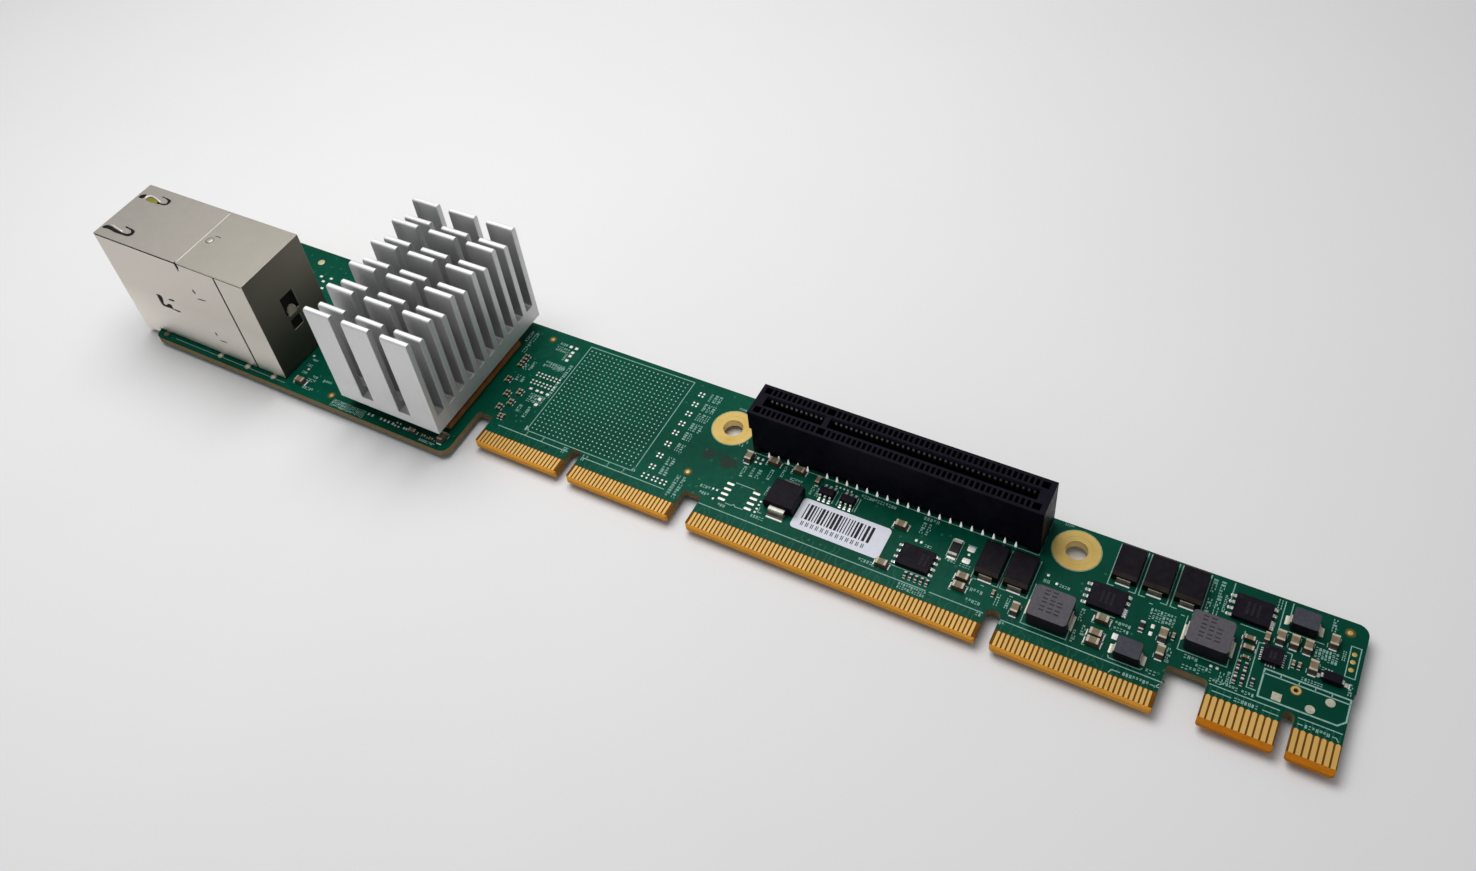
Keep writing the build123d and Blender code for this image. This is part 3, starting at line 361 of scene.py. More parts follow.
def rolled_metal(name, c1, c2, rough, along, rear=False):
    # satin sheet with faint rolling lines along one axis
    s = Shade(name)
    lines = s.span(s.noise(700.0, 4.0, 0.55, vec=s.coords(along)), 0.30, 0.70)
    cloud = s.span(s.noise(26.0, 2.0), 0.35, 0.65)
    f = s.math("ADD", s.math("MULTIPLY", lines, 0.35), s.math("MULTIPLY", cloud, 0.65))
    x, y, z = s.xyz()
    nx, ny, nz = s.normal()
    col = s.mix(f, c1, c2)
    # painted shade: the roof colour is darkened to damp its highlight, and painted light lightens the side walls
    # towards the board
    col = s.mix(s.math("MULTIPLY", s.math("GREATER_THAN", nz, 0.7), 0.31), col, (0.0, 0.0, 0.0))
    painted_side_light = s.math("MULTIPLY", s.math("GREATER_THAN", s.math("ABSOLUTE", ny), 0.7), s.span(z, 2.0, 13.0, 0.95, 0.14))
    col = s.mix(painted_side_light, col, (0.940, 0.890, 0.815))
    if rear:
        # painted shade: the rear wall stands in the shade of the fins and is painted dark, darker lower down and
        # towards the front, with a green cast near the board as a painted reflection of the board
        wall = s.math("MULTIPLY", s.math("GREATER_THAN", nx, 0.7), s.math("LESS_THAN", x, -153.6))
        wall = s.math("MULTIPLY", wall, s.math("GREATER_THAN", x, -153.8))
        h = s.span(z, 2.0, 24.0, 0.0, 1.0, True)
        shade = s.mix(h, (0.070, 0.072, 0.052), (0.300, 0.272, 0.220))
        shade = s.mix(s.span(y, -2.0, 10.0, 0.42, 0.0), shade, (0.0, 0.0, 0.0))
        col = s.mix(wall, col, shade)
        # painted highlight: the tongue that stands proud in its window is painted paler than the wall
        nub = s.math("MULTIPLY", s.math("GREATER_THAN", nx, 0.7), s.math("GREATER_THAN", x, -153.6))
        col = s.mix(nub, col, (0.520, 0.470, 0.360))
        wall = s.math("MAXIMUM", wall, nub)
    s.link(col, s.b.inputs["Base Color"])
    if rear:
        s.link(s.span(wall, 0.0, 1.0, 0.9, 0.42), s.b.inputs["Metallic"])
    else:
        s.b.inputs["Metallic"].default_value = 0.9
    s.link(s.span(lines, 0.0, 1.0, rough - 0.02, rough + 0.02), s.b.inputs["Roughness"])
    s.bump(lines, 0.015, 0.00003, 0.00018)
    return s.m


MAT["shield"] = rolled_metal("satin_nickel", (0.632, 0.586, 0.525), (0.668, 0.621, 0.558), 0.46, (1, 1, 0.06))
MAT["shield_rear"] = rolled_metal("satin_nickel_rear", (0.620, 0.580, 0.505), (0.655, 0.614, 0.538), 0.45, (1, 1, 0.06), True)
# painted highlight: the rolled lips are paler than the nickel sheet they are pressed from
MAT["lip"] = surf("lip_highlight_paint", (0.80, 0.775, 0.725), (0.90, 0.875, 0.830), 700, 0.38, metal=0.5, rvar=0.04, bump=0.05).m
# painted highlight: the roof seam strip is paler than the roof around it
MAT["seam_highlight"] = surf("roof_seam_highlight", (0.56, 0.54, 0.50), (0.66, 0.64, 0.60), 300, 0.45, metal=0.4, rvar=0.04, bump=0.05).m


def alu():
    # extruded fins: faint lines up the fins; the upward faces of the fin tops keep a pale colour free of the painted
    # shade
    s = Shade("heatsink_metal")
    x, y, z = s.xyz()
    nx, ny, nz = s.normal()
    lines = s.span(s.noise(900.0, 4.0, 0.55, vec=s.coords((1, 1, 0.03))), 0.3, 0.7)
    cloud = s.span(s.noise(45.0, 3.0), 0.35, 0.7)
    f = s.math("ADD", s.math("MULTIPLY", lines, 0.45), s.math("MULTIPLY", cloud, 0.55))
    body = s.mix(f, (0.830, 0.830, 0.836), (0.915, 0.915, 0.915))
    # painted shade: darker down in the channels and on the end faces, and a little darker on the upper front faces
    front = s.math("LESS_THAN", y, -3.0)
    ends = s.math("GREATER_THAN", x, -111.75)
    deep = s.math("MULTIPLY", s.span(z, 5.0, 24.0, 0.44, 0.68, True), s.math("SUBTRACT", 1.0, s.math("MAXIMUM", front, ends)))
    painted_shade = s.math("ADD", deep, s.math("ADD", s.math("MULTIPLY", front, s.span(z, 3.0, 9.0, 1.0, 0.86)), s.math("MULTIPLY", ends, 0.68)), clamp=True)
    shaded = s.mix(painted_shade, (0.0, 0.0, 0.0), body)
    up = s.math("MULTIPLY", s.span(nz, 0.45, 0.85), s.math("GREATER_THAN", z, 20.0))
    s.link(s.mix(up, shaded, (0.88, 0.88, 0.89)), s.b.inputs["Base Color"])
    s.b.inputs["Metallic"].default_value = 0.62
    s.link(s.span(lines, 0.0, 1.0, 0.42, 0.50), s.b.inputs["Roughness"])
    s.bump(lines, 0.03, 0.00003, 0.00022)
    return s.m


MAT["alu"] = alu()


def diode_lead():
    # painted shade: the lead behind the body is painted dark and the standing faces darker than the upper ones; the
    # front lead's upper faces are bright
    s = Shade("diode_lead")
    x, y, z = s.xyz()
    nx, ny, nz = s.normal()
    g = s.span(s.noise(1300.0, 4.0), 0.35, 0.65)
    bright = s.mix(g, (0.60, 0.59, 0.52), (0.76, 0.75, 0.67))
    stand = s.mix(g, (0.24, 0.225, 0.185), (0.33, 0.31, 0.26))
    rear_lead_shade = s.mix(g, (0.050, 0.062, 0.052), (0.090, 0.105, 0.090))
    col = s.mix(s.span(nz, 0.35, 0.85), stand, bright)
    s.link(s.mix(s.math("GREATER_THAN", y, 13.0), col, rear_lead_shade), s.b.inputs["Base Color"])
    s.link(s.span(s.noise(900.0, 3.0), 0.3, 0.7, 0.38, 0.50), s.b.inputs["Roughness"])
    s.b.inputs["Metallic"].default_value = 0.35
    s.bump(s.noise(3000.0, 3.0), 0.15, 0.00003, 0.00006)
    return s.m


MAT["diode_lead"] = diode_lead()


def eyelet():
    # plated ring; the barrel is painted brighter than the face as painted light, so the bore reads as gold and not as a
    # dark hole
    s = Shade("eyelet_gold")
    nx, ny, nz = s.normal()
    g = s.span(s.noise(240.0, 4.0), 0.35, 0.65)
    face = s.mix(g, (0.500, 0.345, 0.090), (0.570, 0.405, 0.118))
    barrel = s.mix(g, (0.900, 0.700, 0.300), (0.950, 0.760, 0.360))
    s.link(s.mix(s.math("LESS_THAN", s.math("ABSOLUTE", nz), 0.5), face, barrel), s.b.inputs["Base Color"])
    s.link(s.span(s.noise(650.0, 3.0), 0.3, 0.7, 0.45, 0.55), s.b.inputs["Roughness"])
    s.b.inputs["Metallic"].default_value = 0.45
    s.bump(s.noise(3000.0, 3.0), 0.06, 0.00003)
    return s.m


MAT["eyelet"] = eyelet()

NODE_MAT = {
    "circuit_board": "board", "fine_edge_contacts_top": "gold", "fine_edge_contacts_bottom": "gold",
    "x1_edge_contacts_top": "gold", "x1_edge_contacts_bottom": "gold", "mounting_hole_eyelets": "eyelet",
    "header_hole_plating": "land", "header_hole_solder": "solder_dull", "slot_housing": "slot", "slot_contacts_front": "slot_pin",
    "slot_contacts_rear": "slot_pin", "jack_front_shield": "shield", "jack_rear_cover": "shield_rear", "jack_insert": "jack_black",
    "jack_light_pipes": "pipe", "jack_contacts_upper": "gold", "jack_contacts_lower": "gold", "jack_magnetics_block": "jack_black",
    "jack_pins": "tin", "heatsink": "alu", "thermal_tape": "tape", "controller_substrate": "substrate", "controller_die": "die",
    "controller_solder_balls": "solder", "power_diode_body": "mould", "power_diode_leads": "diode_lead", "tantalum_bodies": "mould_warm",
    "tantalum_straps": "strap_tan", "power_inductor_bodies": "ferrite", "power_inductor_straps": "strap", "small_inductor_bodies": "ferrite_blue",
    "small_inductor_straps": "strap", "power_transistor_bodies": "mould", "power_transistor_leads": "tin", "eight_lead_chip_body": "mould",
    "eight_lead_chip_leads": "tin", "six_lead_chip_bodies": "mould", "six_lead_chip_leads": "tin", "square_chip_body": "mould",
    "square_chip_leads": "tin", "small_diode_body": "mould", "small_diode_leads": "tin", "large_capacitor_bodies": "ceramic",
    "large_capacitor_ends": "cap_end", "medium_capacitor_bodies": "ceramic", "medium_capacitor_ends": "cap_end", "small_capacitor_bodies": "ceramic",
    "small_capacitor_ends": "cap_end", "small_resistor_bodies": "resistor", "small_resistor_ends": "res_end", "sense_resistor_body": "resistor",
    "sense_resistor_ends": "res_end", "label": "paper",
}
for name, o in N.items():
    for k in range(max(1, len(o.material_slots))):
        if k < len(o.material_slots):
            o.material_slots[k].material = MAT[NODE_MAT[name]]
        else:
            o.data.materials.append(MAT[NODE_MAT[name]])


# ------------------------------------------------------------------ mesh building in drawing millimetres
class Build:
    def __init__(self):
        self.v, self.f, self.smooth = [], [], []

    def add(self, verts, faces, smooth=False):
        k = len(self.v)
        self.v.extend(m(*p) for p in verts)
        for f in faces:
            self.f.append(tuple(k + i for i in f))
            self.smooth.append(smooth)

    def prism(self, pts, z0, z1):
        # pts anticlockwise seen from +Z
        area = sum(pts[i][0] * pts[(i + 1) % len(pts)][1] - pts[(i + 1) % len(pts)][0] * pts[i][1] for i in range(len(pts)))
        if area < 0:
            pts = pts[::-1]
        n = len(pts)
        v = [(p[0], p[1], z0) for p in pts] + [(p[0], p[1], z1) for p in pts]
        f = [tuple(range(n - 1, -1, -1)), tuple(range(n, 2 * n))]
        f += [(i, (i + 1) % n, n + (i + 1) % n, n + i) for i in range(n)]
        self.add(v, f)

    def box(self, x0, x1, y0, y1, z0, z1):
        self.prism([(x0, y0), (x1, y0), (x1, y1), (x0, y1)], z0, z1)

    def rbox(self, x0, x1, y0, y1, z0, z1, r=0.15, n=3):
        pts = []
        for cx, cy, a0 in ((x1 - r, y1 - r, 0), (x0 + r, y1 - r, 90), (x0 + r, y0 + r, 180), (x1 - r, y0 + r, 270)):
            for k in range(n + 1):
                a = math.radians(a0 + 90.0 * k / n)
                pts.append((cx + r * math.cos(a), cy + r * math.sin(a)))
        self.prism(pts, z0, z1)

    def pillow(self, x0, x1, y0, y1, z0, z1, r=0.2, inset=0.2):
        # soldered pad: rounded outline that domes to a smaller top
        def ring(g, z):
            pts = []
            rr = max(0.02, r - g * 0.5)
            for cx, cy, a0 in ((x1 - g - rr, y1 - g - rr, 0), (x0 + g + rr, y1 - g - rr, 90),
                               (x0 + g + rr, y0 + g + rr, 180), (x1 - g - rr, y0 + g + rr, 270)):
                for k in range(4):
                    a = math.radians(a0 + 30.0 * k)
                    pts.append((cx + rr * math.cos(a), cy + rr * math.sin(a), z))
            return pts
        g = min(inset, (x1 - x0) * 0.4, (y1 - y0) * 0.4)
        rings = [ring(0, z0), ring(g * 0.25, z0 + (z1 - z0) * 0.6), ring(g * 0.6, z0 + (z1 - z0) * 0.9), ring(g, z1)]
        self.loft(rings)

    def loft(self, rings, smooth=True):
        n = len(rings[0])
        v = [p for r in rings for p in r]
        f = []
        for k in range(len(rings) - 1):
            for i in range(n):
                j = (i + 1) % n
                f.append((k * n + i, k * n + j, (k + 1) * n + j, (k + 1) * n + i))
        f.append(tuple(range(n - 1, -1, -1)))
        f.append(tuple(range((len(rings) - 1) * n, len(rings) * n)))
        self.add(v, f, smooth)

    def lathe(self, x, y, prof, n=14, sx=1.0, sy=1.0):
        # prof: (radius, z) from the board outwards
        rings = []
        for r, z in prof:
            rings.append([(x + sx * r * math.cos(2 * math.pi * i / n), y + sy * r * math.sin(2 * math.pi * i / n), z) for i in range(n)])
        if prof[-1][1] < prof[0][1]:
            rings = [r[::-1] for r in rings]
        self.loft(rings)

    def ring(self, x, y, r0, r1, z0, z1, n=20):
        v, f = [], []
        for i in range(n):
            c, s = math.cos(2 * math.pi * i / n), math.sin(2 * math.pi * i / n)
            v += [(x + r0 * c, y + r0 * s, z0), (x + r1 * c, y + r1 * s, z0), (x + r1 * c, y + r1 * s, z1), (x + r0 * c, y + r0 * s, z1)]
        for i in range(n):
            a, b = 4 * i, 4 * ((i + 1) % n)
            f += [(a + 3, a + 2, b + 2, b + 3), (a, b, b + 1, a + 1), (a + 1, b + 1, b + 2, a + 2), (a, a + 3, b + 3, b)]
        self.add(v, f)

    def line(self, pts, w, z0, z1, closed=False):
        # flat drawn line with mitred joints
        n = len(pts)
        left, right = [], []
        for i in range(n):
            if closed:
                a, b, c = pts[i - 1], pts[i], pts[(i + 1) % n]
            else:
                a, b, c = pts[max(0, i - 1)], pts[i], pts[min(n - 1, i + 1)]
            d1 = Vector((b[0] - a[0], b[1] - a[1]))
            d2 = Vector((c[0] - b[0], c[1] - b[1]))
            if d1.length < 1e-9:
                d1 = d2
            if d2.length < 1e-9:
                d2 = d1
            d1.normalize()
            d2.normalize()
            t = d1 + d2
            if t.length < 1e-6:
                t = d1
            t.normalize()
            nrm = Vector((-t.y, t.x))
            k = max(0.35, nrm.dot(Vector((-d1.y, d1.x))))
            o = nrm * (w / 2 / k)
            left.append((b[0] + o.x, b[1] + o.y))
            right.append((b[0] - o.x, b[1] - o.y))
        rng = range(n) if closed else range(n - 1)
        for i in rng:
            j = (i + 1) % n
            self.prism([left[i], left[j], right[j], right[i]], z0, z1)

    def xprism(self, prof, x0, x1, smooth=False):
        # profile in (y, z), run along X
        n = len(prof)
        area = sum(prof[i][0] * prof[(i + 1) % n][1] - prof[(i + 1) % n][0] * prof[i][1] for i in range(n))
        if area < 0:
            prof = prof[::-1]
        v = [(x0, p[0], p[1]) for p in prof] + [(x1, p[0], p[1]) for p in prof]
        f = [tuple(range(n - 1, -1, -1)), tuple(range(n, 2 * n))] + [(i, (i + 1) % n, n + (i + 1) % n, n + i) for i in range(n)]
        self.add(v, f, smooth)

    def yprism(self, prof, y0, y1, smooth=False):
        # profile in (x, z), run along Y
        n = len(prof)
        area = sum(prof[i][0] * prof[(i + 1) % n][1] - prof[(i + 1) % n][0] * prof[i][1] for i in range(n))
        if area > 0:
            prof = prof[::-1]
        v = [(p[0], y0, p[1]) for p in prof] + [(p[0], y1, p[1]) for p in prof]
        f = [tuple(range(n - 1, -1, -1)), tuple(range(n, 2 * n))] + [(i, (i + 1) % n, n + (i + 1) % n, n + i) for i in range(n)]
        self.add(v, f, smooth)

    def make(self, name, mat, slot):
        me = bpy.data.meshes.new(name)
        me.from_pydata(self.v, [], self.f)
        me.update()
        for p, s in zip(me.polygons, self.smooth):
            p.use_smooth = s
        o = bpy.data.objects.new(name, me)
        bpy.context.scene.collection.objects.link(o)
        o.data.materials.append(MAT[mat])
        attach(o, "root")
        return o


T = 1.6
Z_TRACE, Z_SILK, Z_PAD = 0.010, 0.018, 0.035

# ------------------------------------------------------------------ silk lines and generic dashes
silk = Build()
SW = 0.16


def sl(*pts, w=SW, closed=False):
    silk.line(list(pts), w, 0.0, Z_SILK, closed)


def rect(x0, x1, y0, y1, w=SW):
    sl((x0, y0), (x1, y0), (x1, y1), (x0, y1), w=w, closed=True)


def dashes(x0, x1, y0, y1, upright=False, rows=1):
    """A block of generic dashes and ticks."""
    if upright:
        L, H = y1 - y0, x1 - x0
    else:
        L, H = x1 - x0, y1 - y0
    rh = H / rows
    for r in range(rows):
        u = 0.0
        step = 0.66 * rh
        while u + 0.5 * step < L:
            kind = RND.randrange(3)
            cw = step * RND.uniform(0.55, 0.75)
            a, b = r * rh + 0.10 * rh, r * rh + 0.88 * rh
            t = min(0.15, 0.24 * rh)
            if kind == 0:
                cells = [(u, u + t, a, b), (u + cw - t, u + cw, a, b)]
            elif kind == 1:
                cells = [(u, u + cw, a, a + t), (u, u + cw, b - t, b)]
            else:
                cells = [(u, u + cw, (a + b) / 2 - t / 2, (a + b) / 2 + t / 2), (u + cw * 0.4, u + cw * 0.4 + t, a, b - t)]
                cells = cells[:1] + [(u, u + cw, b - t, b)]
            for p0, p1, q0, q1 in cells:
                if upright:
                    silk.box(x1 - q1, x1 - q0, y0 + p0, y0 + p1, 0.0, Z_SILK)
                else:
                    silk.box(x0 + p0, x0 + p1, y0 + q0, y0 + q1, 0.0, Z_SILK)
            u += step


# long lines behind the tabs
for a, b in ((-104.2, -87.6), (-84.2, -65.8), (-58.4, -13.8), (-13.2, -3.6), (-0.6, 26.0)):
    sl((a, 5.45), (b, 5.45), w=0.18)
sl((32.4, 8.38), (43.0, 8.38), w=0.18)
sl((45.6, 8.38), (52.0, 8.38), w=0.18)
sl((33.0, 7.35), (36.0, 7.35))
sl((40.6, 7.35), (43.0, 7.35))
dashes(36.4, 40.2, 6.95, 7.75)
sl((45.7, 7.35), (46.5, 7.35))
dashes(46.8, 50.4, 6.95, 7.75)
sl((50.7, 7.35), (51.3, 7.35), (51.7, 6.8))
sl((17.9, 3.6), (18.2, 4.3), (19.6, 4.35))
dashes(20.0, 24.0, 3.95, 4.75)
sl((24.3, 4.35), (25.8, 4.35))
sl((25.0, 4.1), (25.6, 5.0))
# header outline
rect_pts = [(39.4, 9.4), (51.0, 9.5), (52.1, 10.6), (52.1, 14.6), (39.4, 14.6)]
sl(*rect_pts, w=0.27, closed=True)
sl((39.4, 13.8), (52.1, 13.8), w=0.22)
for x in (41.9, 44.6, 47.0, 49.4):
    sl((x, 13.8), (x, 14.5))
rect(50.4, 51.9, 18.4, 24.2)
# outlines of the tantalum row
for x in (15.25, 20.45, 25.65):
    for s in (-1, 1):
        sl((x + s * 1.25, 19.5), (x + s * 2.32, 19.5), (x + s * 2.32, 28.3))
    sl((x - 0.3, 18.7), (x + 0.3, 18.7))
for x in (-5.6, -0.5):
    for s in (-1, 1):
        sl((x + s * 1.3, 11.15), (x + s * 2.36, 11.15), (x + s * 2.36, 19.2))
    sl((x - 0.3, 10.4), (x + 0.3, 10.4))
# inductor outlines
sl((2.45, 14.6), (2.45, 6.35), (10.1, 6.35), (10.1, 8.2))
sl((26.4, 19.0), (26.4, 12.3), (34.1, 12.3), (34.1, 13.9))
sl((16.9, 6.6), (17.2, 6.15), (22.2, 6.15), (22.5, 6.6))
sl((41.0, 22.7), (46.6, 22.7))
# transistor and chip outlines
sl((31.75, 24.8), (31.75, 28.3))
sl((34.2, 21.0), (38.6, 21.0))
sl((12.0, 13.6), (16.0, 13.6))
sl((39.75, 21.6), (39.75, 28.2))
sl((40.9, 25.8), (40.9, 28.3))
sl((38.3, 18.9), (37.55, 18.9), (37.55, 10.2), (39.0, 10.2))
sl((41.8, 18.9), (42.6, 18.9), (42.6, 16.0))
sl((35.2, 9.6), (35.2, 20.0))
sl((-21.3, 7.85), (-14.5, 7.85))
sl((-13.35, 13.4), (-13.35, 17.4), (-11.45, 17.4), (-11.45, 13.4))
sl((-10.6, 17.2), (-9.0, 17.2))
for x in (-36.05, -32.0, -31.55, -35.2):
    sl((x, 15.3), (x, 18.4))
sl((-54.1, 12.35), (-50.2, 12.35))
sl((-53.9, 7.45), (-52.6, 7.4), (-52.2, 7.75), (-51.8, 7.4), (-50.2, 7.45))
sl((-47.5, 9.3), (-47.5, 8.1), (-46.7, 8.1))
sl((-55.9, 20.15), (0.9, 20.15))
sl((0.95, 20.15), (0.95, 22.0))
sl((0.95, 23.2), (0.95, 24.5))
sl((0.95, 25.6), (0.95, 28.0))
# chip array outline with its corner mark and ticks to the line behind the tabs
rect(-98.2, -73.4, 6.7, 31.0, w=0.16)
silk.prism([(-98.7, 6.6), (-97.4, 6.6), (-98.7, 7.9)], 0.0, Z_SILK)
for x in (-97.6, -93.8, -78.7, -75.2):
    sl((x, 5.5), (x, 6.7))
    silk.prism([(x - 0.3, 5.5), (x + 0.3, 5.5), (x, 6.1)], 0.0, Z_SILK)
silk.prism([(-74.0, 6.7), (-73.0, 6.7), (-73.4, 7.8)], 0.0, Z_SILK)
for x in (-88.6, -84.0):
    dashes(x - 0.4, x + 0.9, 4.8, 6.3, upright=True)
# jack line
sl((-186.0, -3.72), (-153.5, -3.72), w=0.12)
# blocks of generic dashes
for blk in (
    (27.7, 29.8, 11.15, 12.0), (29.7, 32.3, 10.2, 11.0), (27.8, 30.9, 9.2, 10.1), (32.2, 36.6, 8.75, 9.5), (37.1, 38.9, 8.75, 9.5),
    (44.7, 48.0, 14.9, 15.6), (46.6, 49.0, 18.0, 18.7), (23.0, 25.0, 6.0, 6.9),
    (16.3, 18.9, 12.5, 13.3), (16.3, 18.9, 11.4, 12.2), (-19.7, -16.5, 18.9, 19.8), (-13.3, -11.3, 12.5, 13.3), (-10.6, -8.7, 12.4, 13.2),
    (-7.2, -4.6, 8.5, 9.4), (-7.2, -4.4, 6.4, 7.2), (-4.7, -3.5, 4.5, 5.3), (-0.7, 0.5, 4.5, 5.3), (3.3, 4.3, 15.3, 16.2),
    (6.0, 8.0, 15.5, 16.2), (-17.4, -15.9, 13.6, 14.3), (-26.8, -24.3, 6.2, 7.0), (-31.8, -25.1, 18.8, 19.6), (-60.0, -57.9, 8.8, 9.6),
    (-59.5, -57.3, 7.4, 8.2), (-55.0, -53.2, 6.3, 7.1), (-48.3, -45.8, 6.6, 7.4), (-45.4, -42.5, 17.0, 17.8), (-101.9, -100.0, 22.9, 23.7),
    (-149.6, -147.0, -1.3, -0.4), (-149.1, -146.1, -3.35, -2.45), (-145.9, -143.7, -0.35, 0.55),
    (-148.9, -147.3, -0.15, 0.55), (-152.1, -150.5, 0.0, 0.75), (-152.3, -150.5, 2.0, 2.8), (-152.3, -150.8, 3.7, 4.3), (-117.0, -113.1, -4.5, -3.75), (3.0, 4.6, 28.0, 28.5),
    (-61.9, -60.5, 28.3, 28.9), (-104.8, -102.8, 29.0, 29.7),
):
    dashes(*blk)
for blk, rows in (((45.6, 49.2, 19.6, 21.9), 3), ((20.8, 24.8, 15.7, 18.1), 3), ((-18.6, -13.7, 3.9, 5.3), 2), ((-104.8, -100.2, 22.3, 24.1), 2),
                  ((-140.3, -131.5, -4.65, -2.75), 3), ((-104.9, -101.6, 27.0, 28.6), 2), ((-102.8, -99.0, 13.0, 15.4), 3)):
    dashes(*blk, rows=rows)
for blk in (
    (28.3, 29.2, 20.9, 24.0), (29.6, 30.5, 20.9, 28.0), (30.8, 31.4, 22.0, 25.4), (28.3, 29.2, 25.0, 28.2), (25.0, 25.9, 9.2, 11.9),
    (47.0, 47.8, 25.6, 28.0), (33.3, 34.2, 8.9, 11.4), (34.4, 35.0, 9.4, 11.6), (10.6, 11.4, 10.7, 13.3), (11.7, 12.5, 8.3, 10.6),
    (10.6, 11.4, 6.4, 8.9), (-2.8, -2.0, 7.6, 10.2), (-1.0, -0.3, 7.8, 10.0), (38.6, 39.4, 25.8, 28.4), (-19.5, -18.7, 16.0, 18.4),
    (-18.4, -17.6, 16.0, 18.4), (-48.3, -47.6, 12.0, 14.4), (-54.6, -53.8, 14.0, 16.6), (-52.9, -52.0, 14.7, 17.3),
    (-51.7, -50.8, 14.7, 17.3), (-49.6, -48.8, 15.4, 18.0), (-47.5, -46.8, 17.0, 19.6), (-40.9, -40.1, 15.6, 17.5), (-39.8, -39.0, 15.6, 17.5),
    (-65.2, -64.3, 4.4, 9.8), (-63.9, -63.0, 4.4, 9.8), (-101.3, -100.4, 9.2, 12.0), (-103.4, -102.4, 10.0, 11.8),
    (-112.6, -111.8, 26.9, 30.2), (-111.4, -110.4, 24.0, 29.8), (-99.6, -98.7, 15.5, 25.2), (-108.4, -107.5, 20.0, 22.0),
    (-107.2, -106.4, 20.3, 22.8), (-108.3, -107.4, 16.9, 18.7), (-107.0, -106.2, 16.9, 18.7), (-58.0, -56.4, 20.3, 21.9), (-102.2, -101.4, 25.4, 28.0),
    (51.3, 52.0, 15.2, 17.6), (49.4, 50.0, 21.0, 22.9),
):
    dashes(*blk, upright=True)
for y in (28.7, 26.0, 23.4, 20.7, 18.2, 15.2, 11.6, 9.2):
    for k in range(3 if y > 20 else 2):
        dashes(-68.8 + 0.95 * k, -68.0 + 0.95 * k, y - 0.95, y + 0.95, upright=True)

# ------------------------------------------------------------------ part lists repeated from the card's layout
BIG_CAPS = [(-22.7, 15.9, "x"), (-22.7, 7.1, "x"), (-9.1, 10.3, "x"), (-9.1, 8.3, "x"), (0.9, 8.2, "y"),
            (14.3, 12.2, "x"), (14.1, 9.2, "x"), (14.1, 7.6, "x"), (23.8, 13.6, "y"), (24.2, 10.4, "y"),
            (40.4, 21.0, "y"), (42.45, 21.0, "y"), (44.5, 21.0, "y"), (45.9, 17.7, "y"), (47.9, 23.6, "y"),
            (-54.5, 18.5, "y"), (-49.6, 19.3, "x"), (-44.4, 19.4, "x"), (-112.5, -2.1, "y"), (-150.3, -2.1, "x")]
MID_CAPS = [(-40.3, 18.9, "y"), (36.1, 18.7, "x"), (38.5, 20.1, "y"), (36.3, 16.9, "x"), (-119.3, -3.1, "x")]
SMALL_CAPS = [(-3.4, 9.7, "y"), (25.3, 14.2, "y"), (36.3, 15.2, "x"), (43.05, 17.2, "y"), (43.95, 17.2, "y"),
              (-109.2, 23.3, "x"), (-109.2, 22.35, "x"), (-109.2, 21.4, "x"), (-109.2, 20.45, "x"),
              (-109.3, 16.8, "x"), (-109.3, 15.9, "x"), (-107.3, 13.5, "x"), (-107.3, 12.6, "x"),
              (-105.0, 14.8, "x"), (-105.0, 13.9, "x"), (-105.2, 11.8, "x"), (-105.2, 10.9, "x"),
              (-106.7, 9.9, "x"), (-106.7, 9.0, "x"), (-105.3, 7.5, "y"), (-104.5, 7.5, "y"),
              (-116.4, -3.2, "x"), (-114.5, -3.2, "x")]
SMALL_RES = [(38.2, 11.4, "y"), (35.6, 13.7, "y"), (36.7, 13.7, "y"),
             (35.6, 12.2, "y"), (36.7, 12.2, "y"), (35.6, 10.7, "y"), (36.7, 10.7, "y"),
             (-18.2, 6.9, "y"), (-17.2, 6.9, "y"), (-16.2, 6.9, "y"), (-15.2, 6.9, "y"), (-14.2, 6.9, "y")]

fill = Build()          # solder fillets and soldered lands
cream = Build()         # duller joints of the strapped parts
shade = Build()         # shaded hollow of a joint
toe = Build()           # painted highlight: bright toe of a joint and soldered lead ends


def fillet(x, y, dx, dy, w, h, reach, into=None):
    """Concave solder wedge against an end face at (x, y), leaning out along (dx, dy)."""
    prof = [(0, h), (reach * 0.10, h * 0.70), (reach * 0.28, h * 0.36), (reach * 0.58, h * 0.14), (reach, 0.03), (reach, 0.0), (0, 0)]
    b = into or fill
    if dx:
        b.yprism([(x + dx * p, q) for p, q in prof], y - w / 2, y + w / 2)
    else:
        b.xprism([(y + dy * p, q) for p, q in prof], x - w / 2, x + w / 2)


def toe_line(x, y, dx, dy, w, d):
    """Rounded rim of solder in a bright painted-highlight colour, d wide, starting at (x, y) and running across (dx,
    dy).
    """
    prof = [(0, 0), (0, 0.05), (d * 0.25, 0.10), (d * 0.6, 0.10), (d * 0.9, 0.05), (d, 0)]
    if dx:
        toe.yprism([(x + dx * p, q) for p, q in prof], y - w / 2, y + w / 2)
    else:
        toe.xprism([(y + dy * p, q) for p, q in prof], x - w / 2, x + w / 2)


def chip_joint(x, y, axis, L, W, H, reach):
    for s in (-1, 1):
        if axis == "x":
            fillet(x + s * L / 2, y, s, 0, W * 0.96, H * 0.55, reach, shade)
            toe_line(x + s * (L / 2 + reach * 0.85), y, s, 0, W * 0.92, reach * 0.62)
        else:
            fillet(x, y + s * L / 2, 0, s, W * 0.96, H * 0.55, reach, shade)
            toe_line(x, y + s * (L / 2 + reach * 0.85), 0, s, W * 0.92, reach * 0.62)


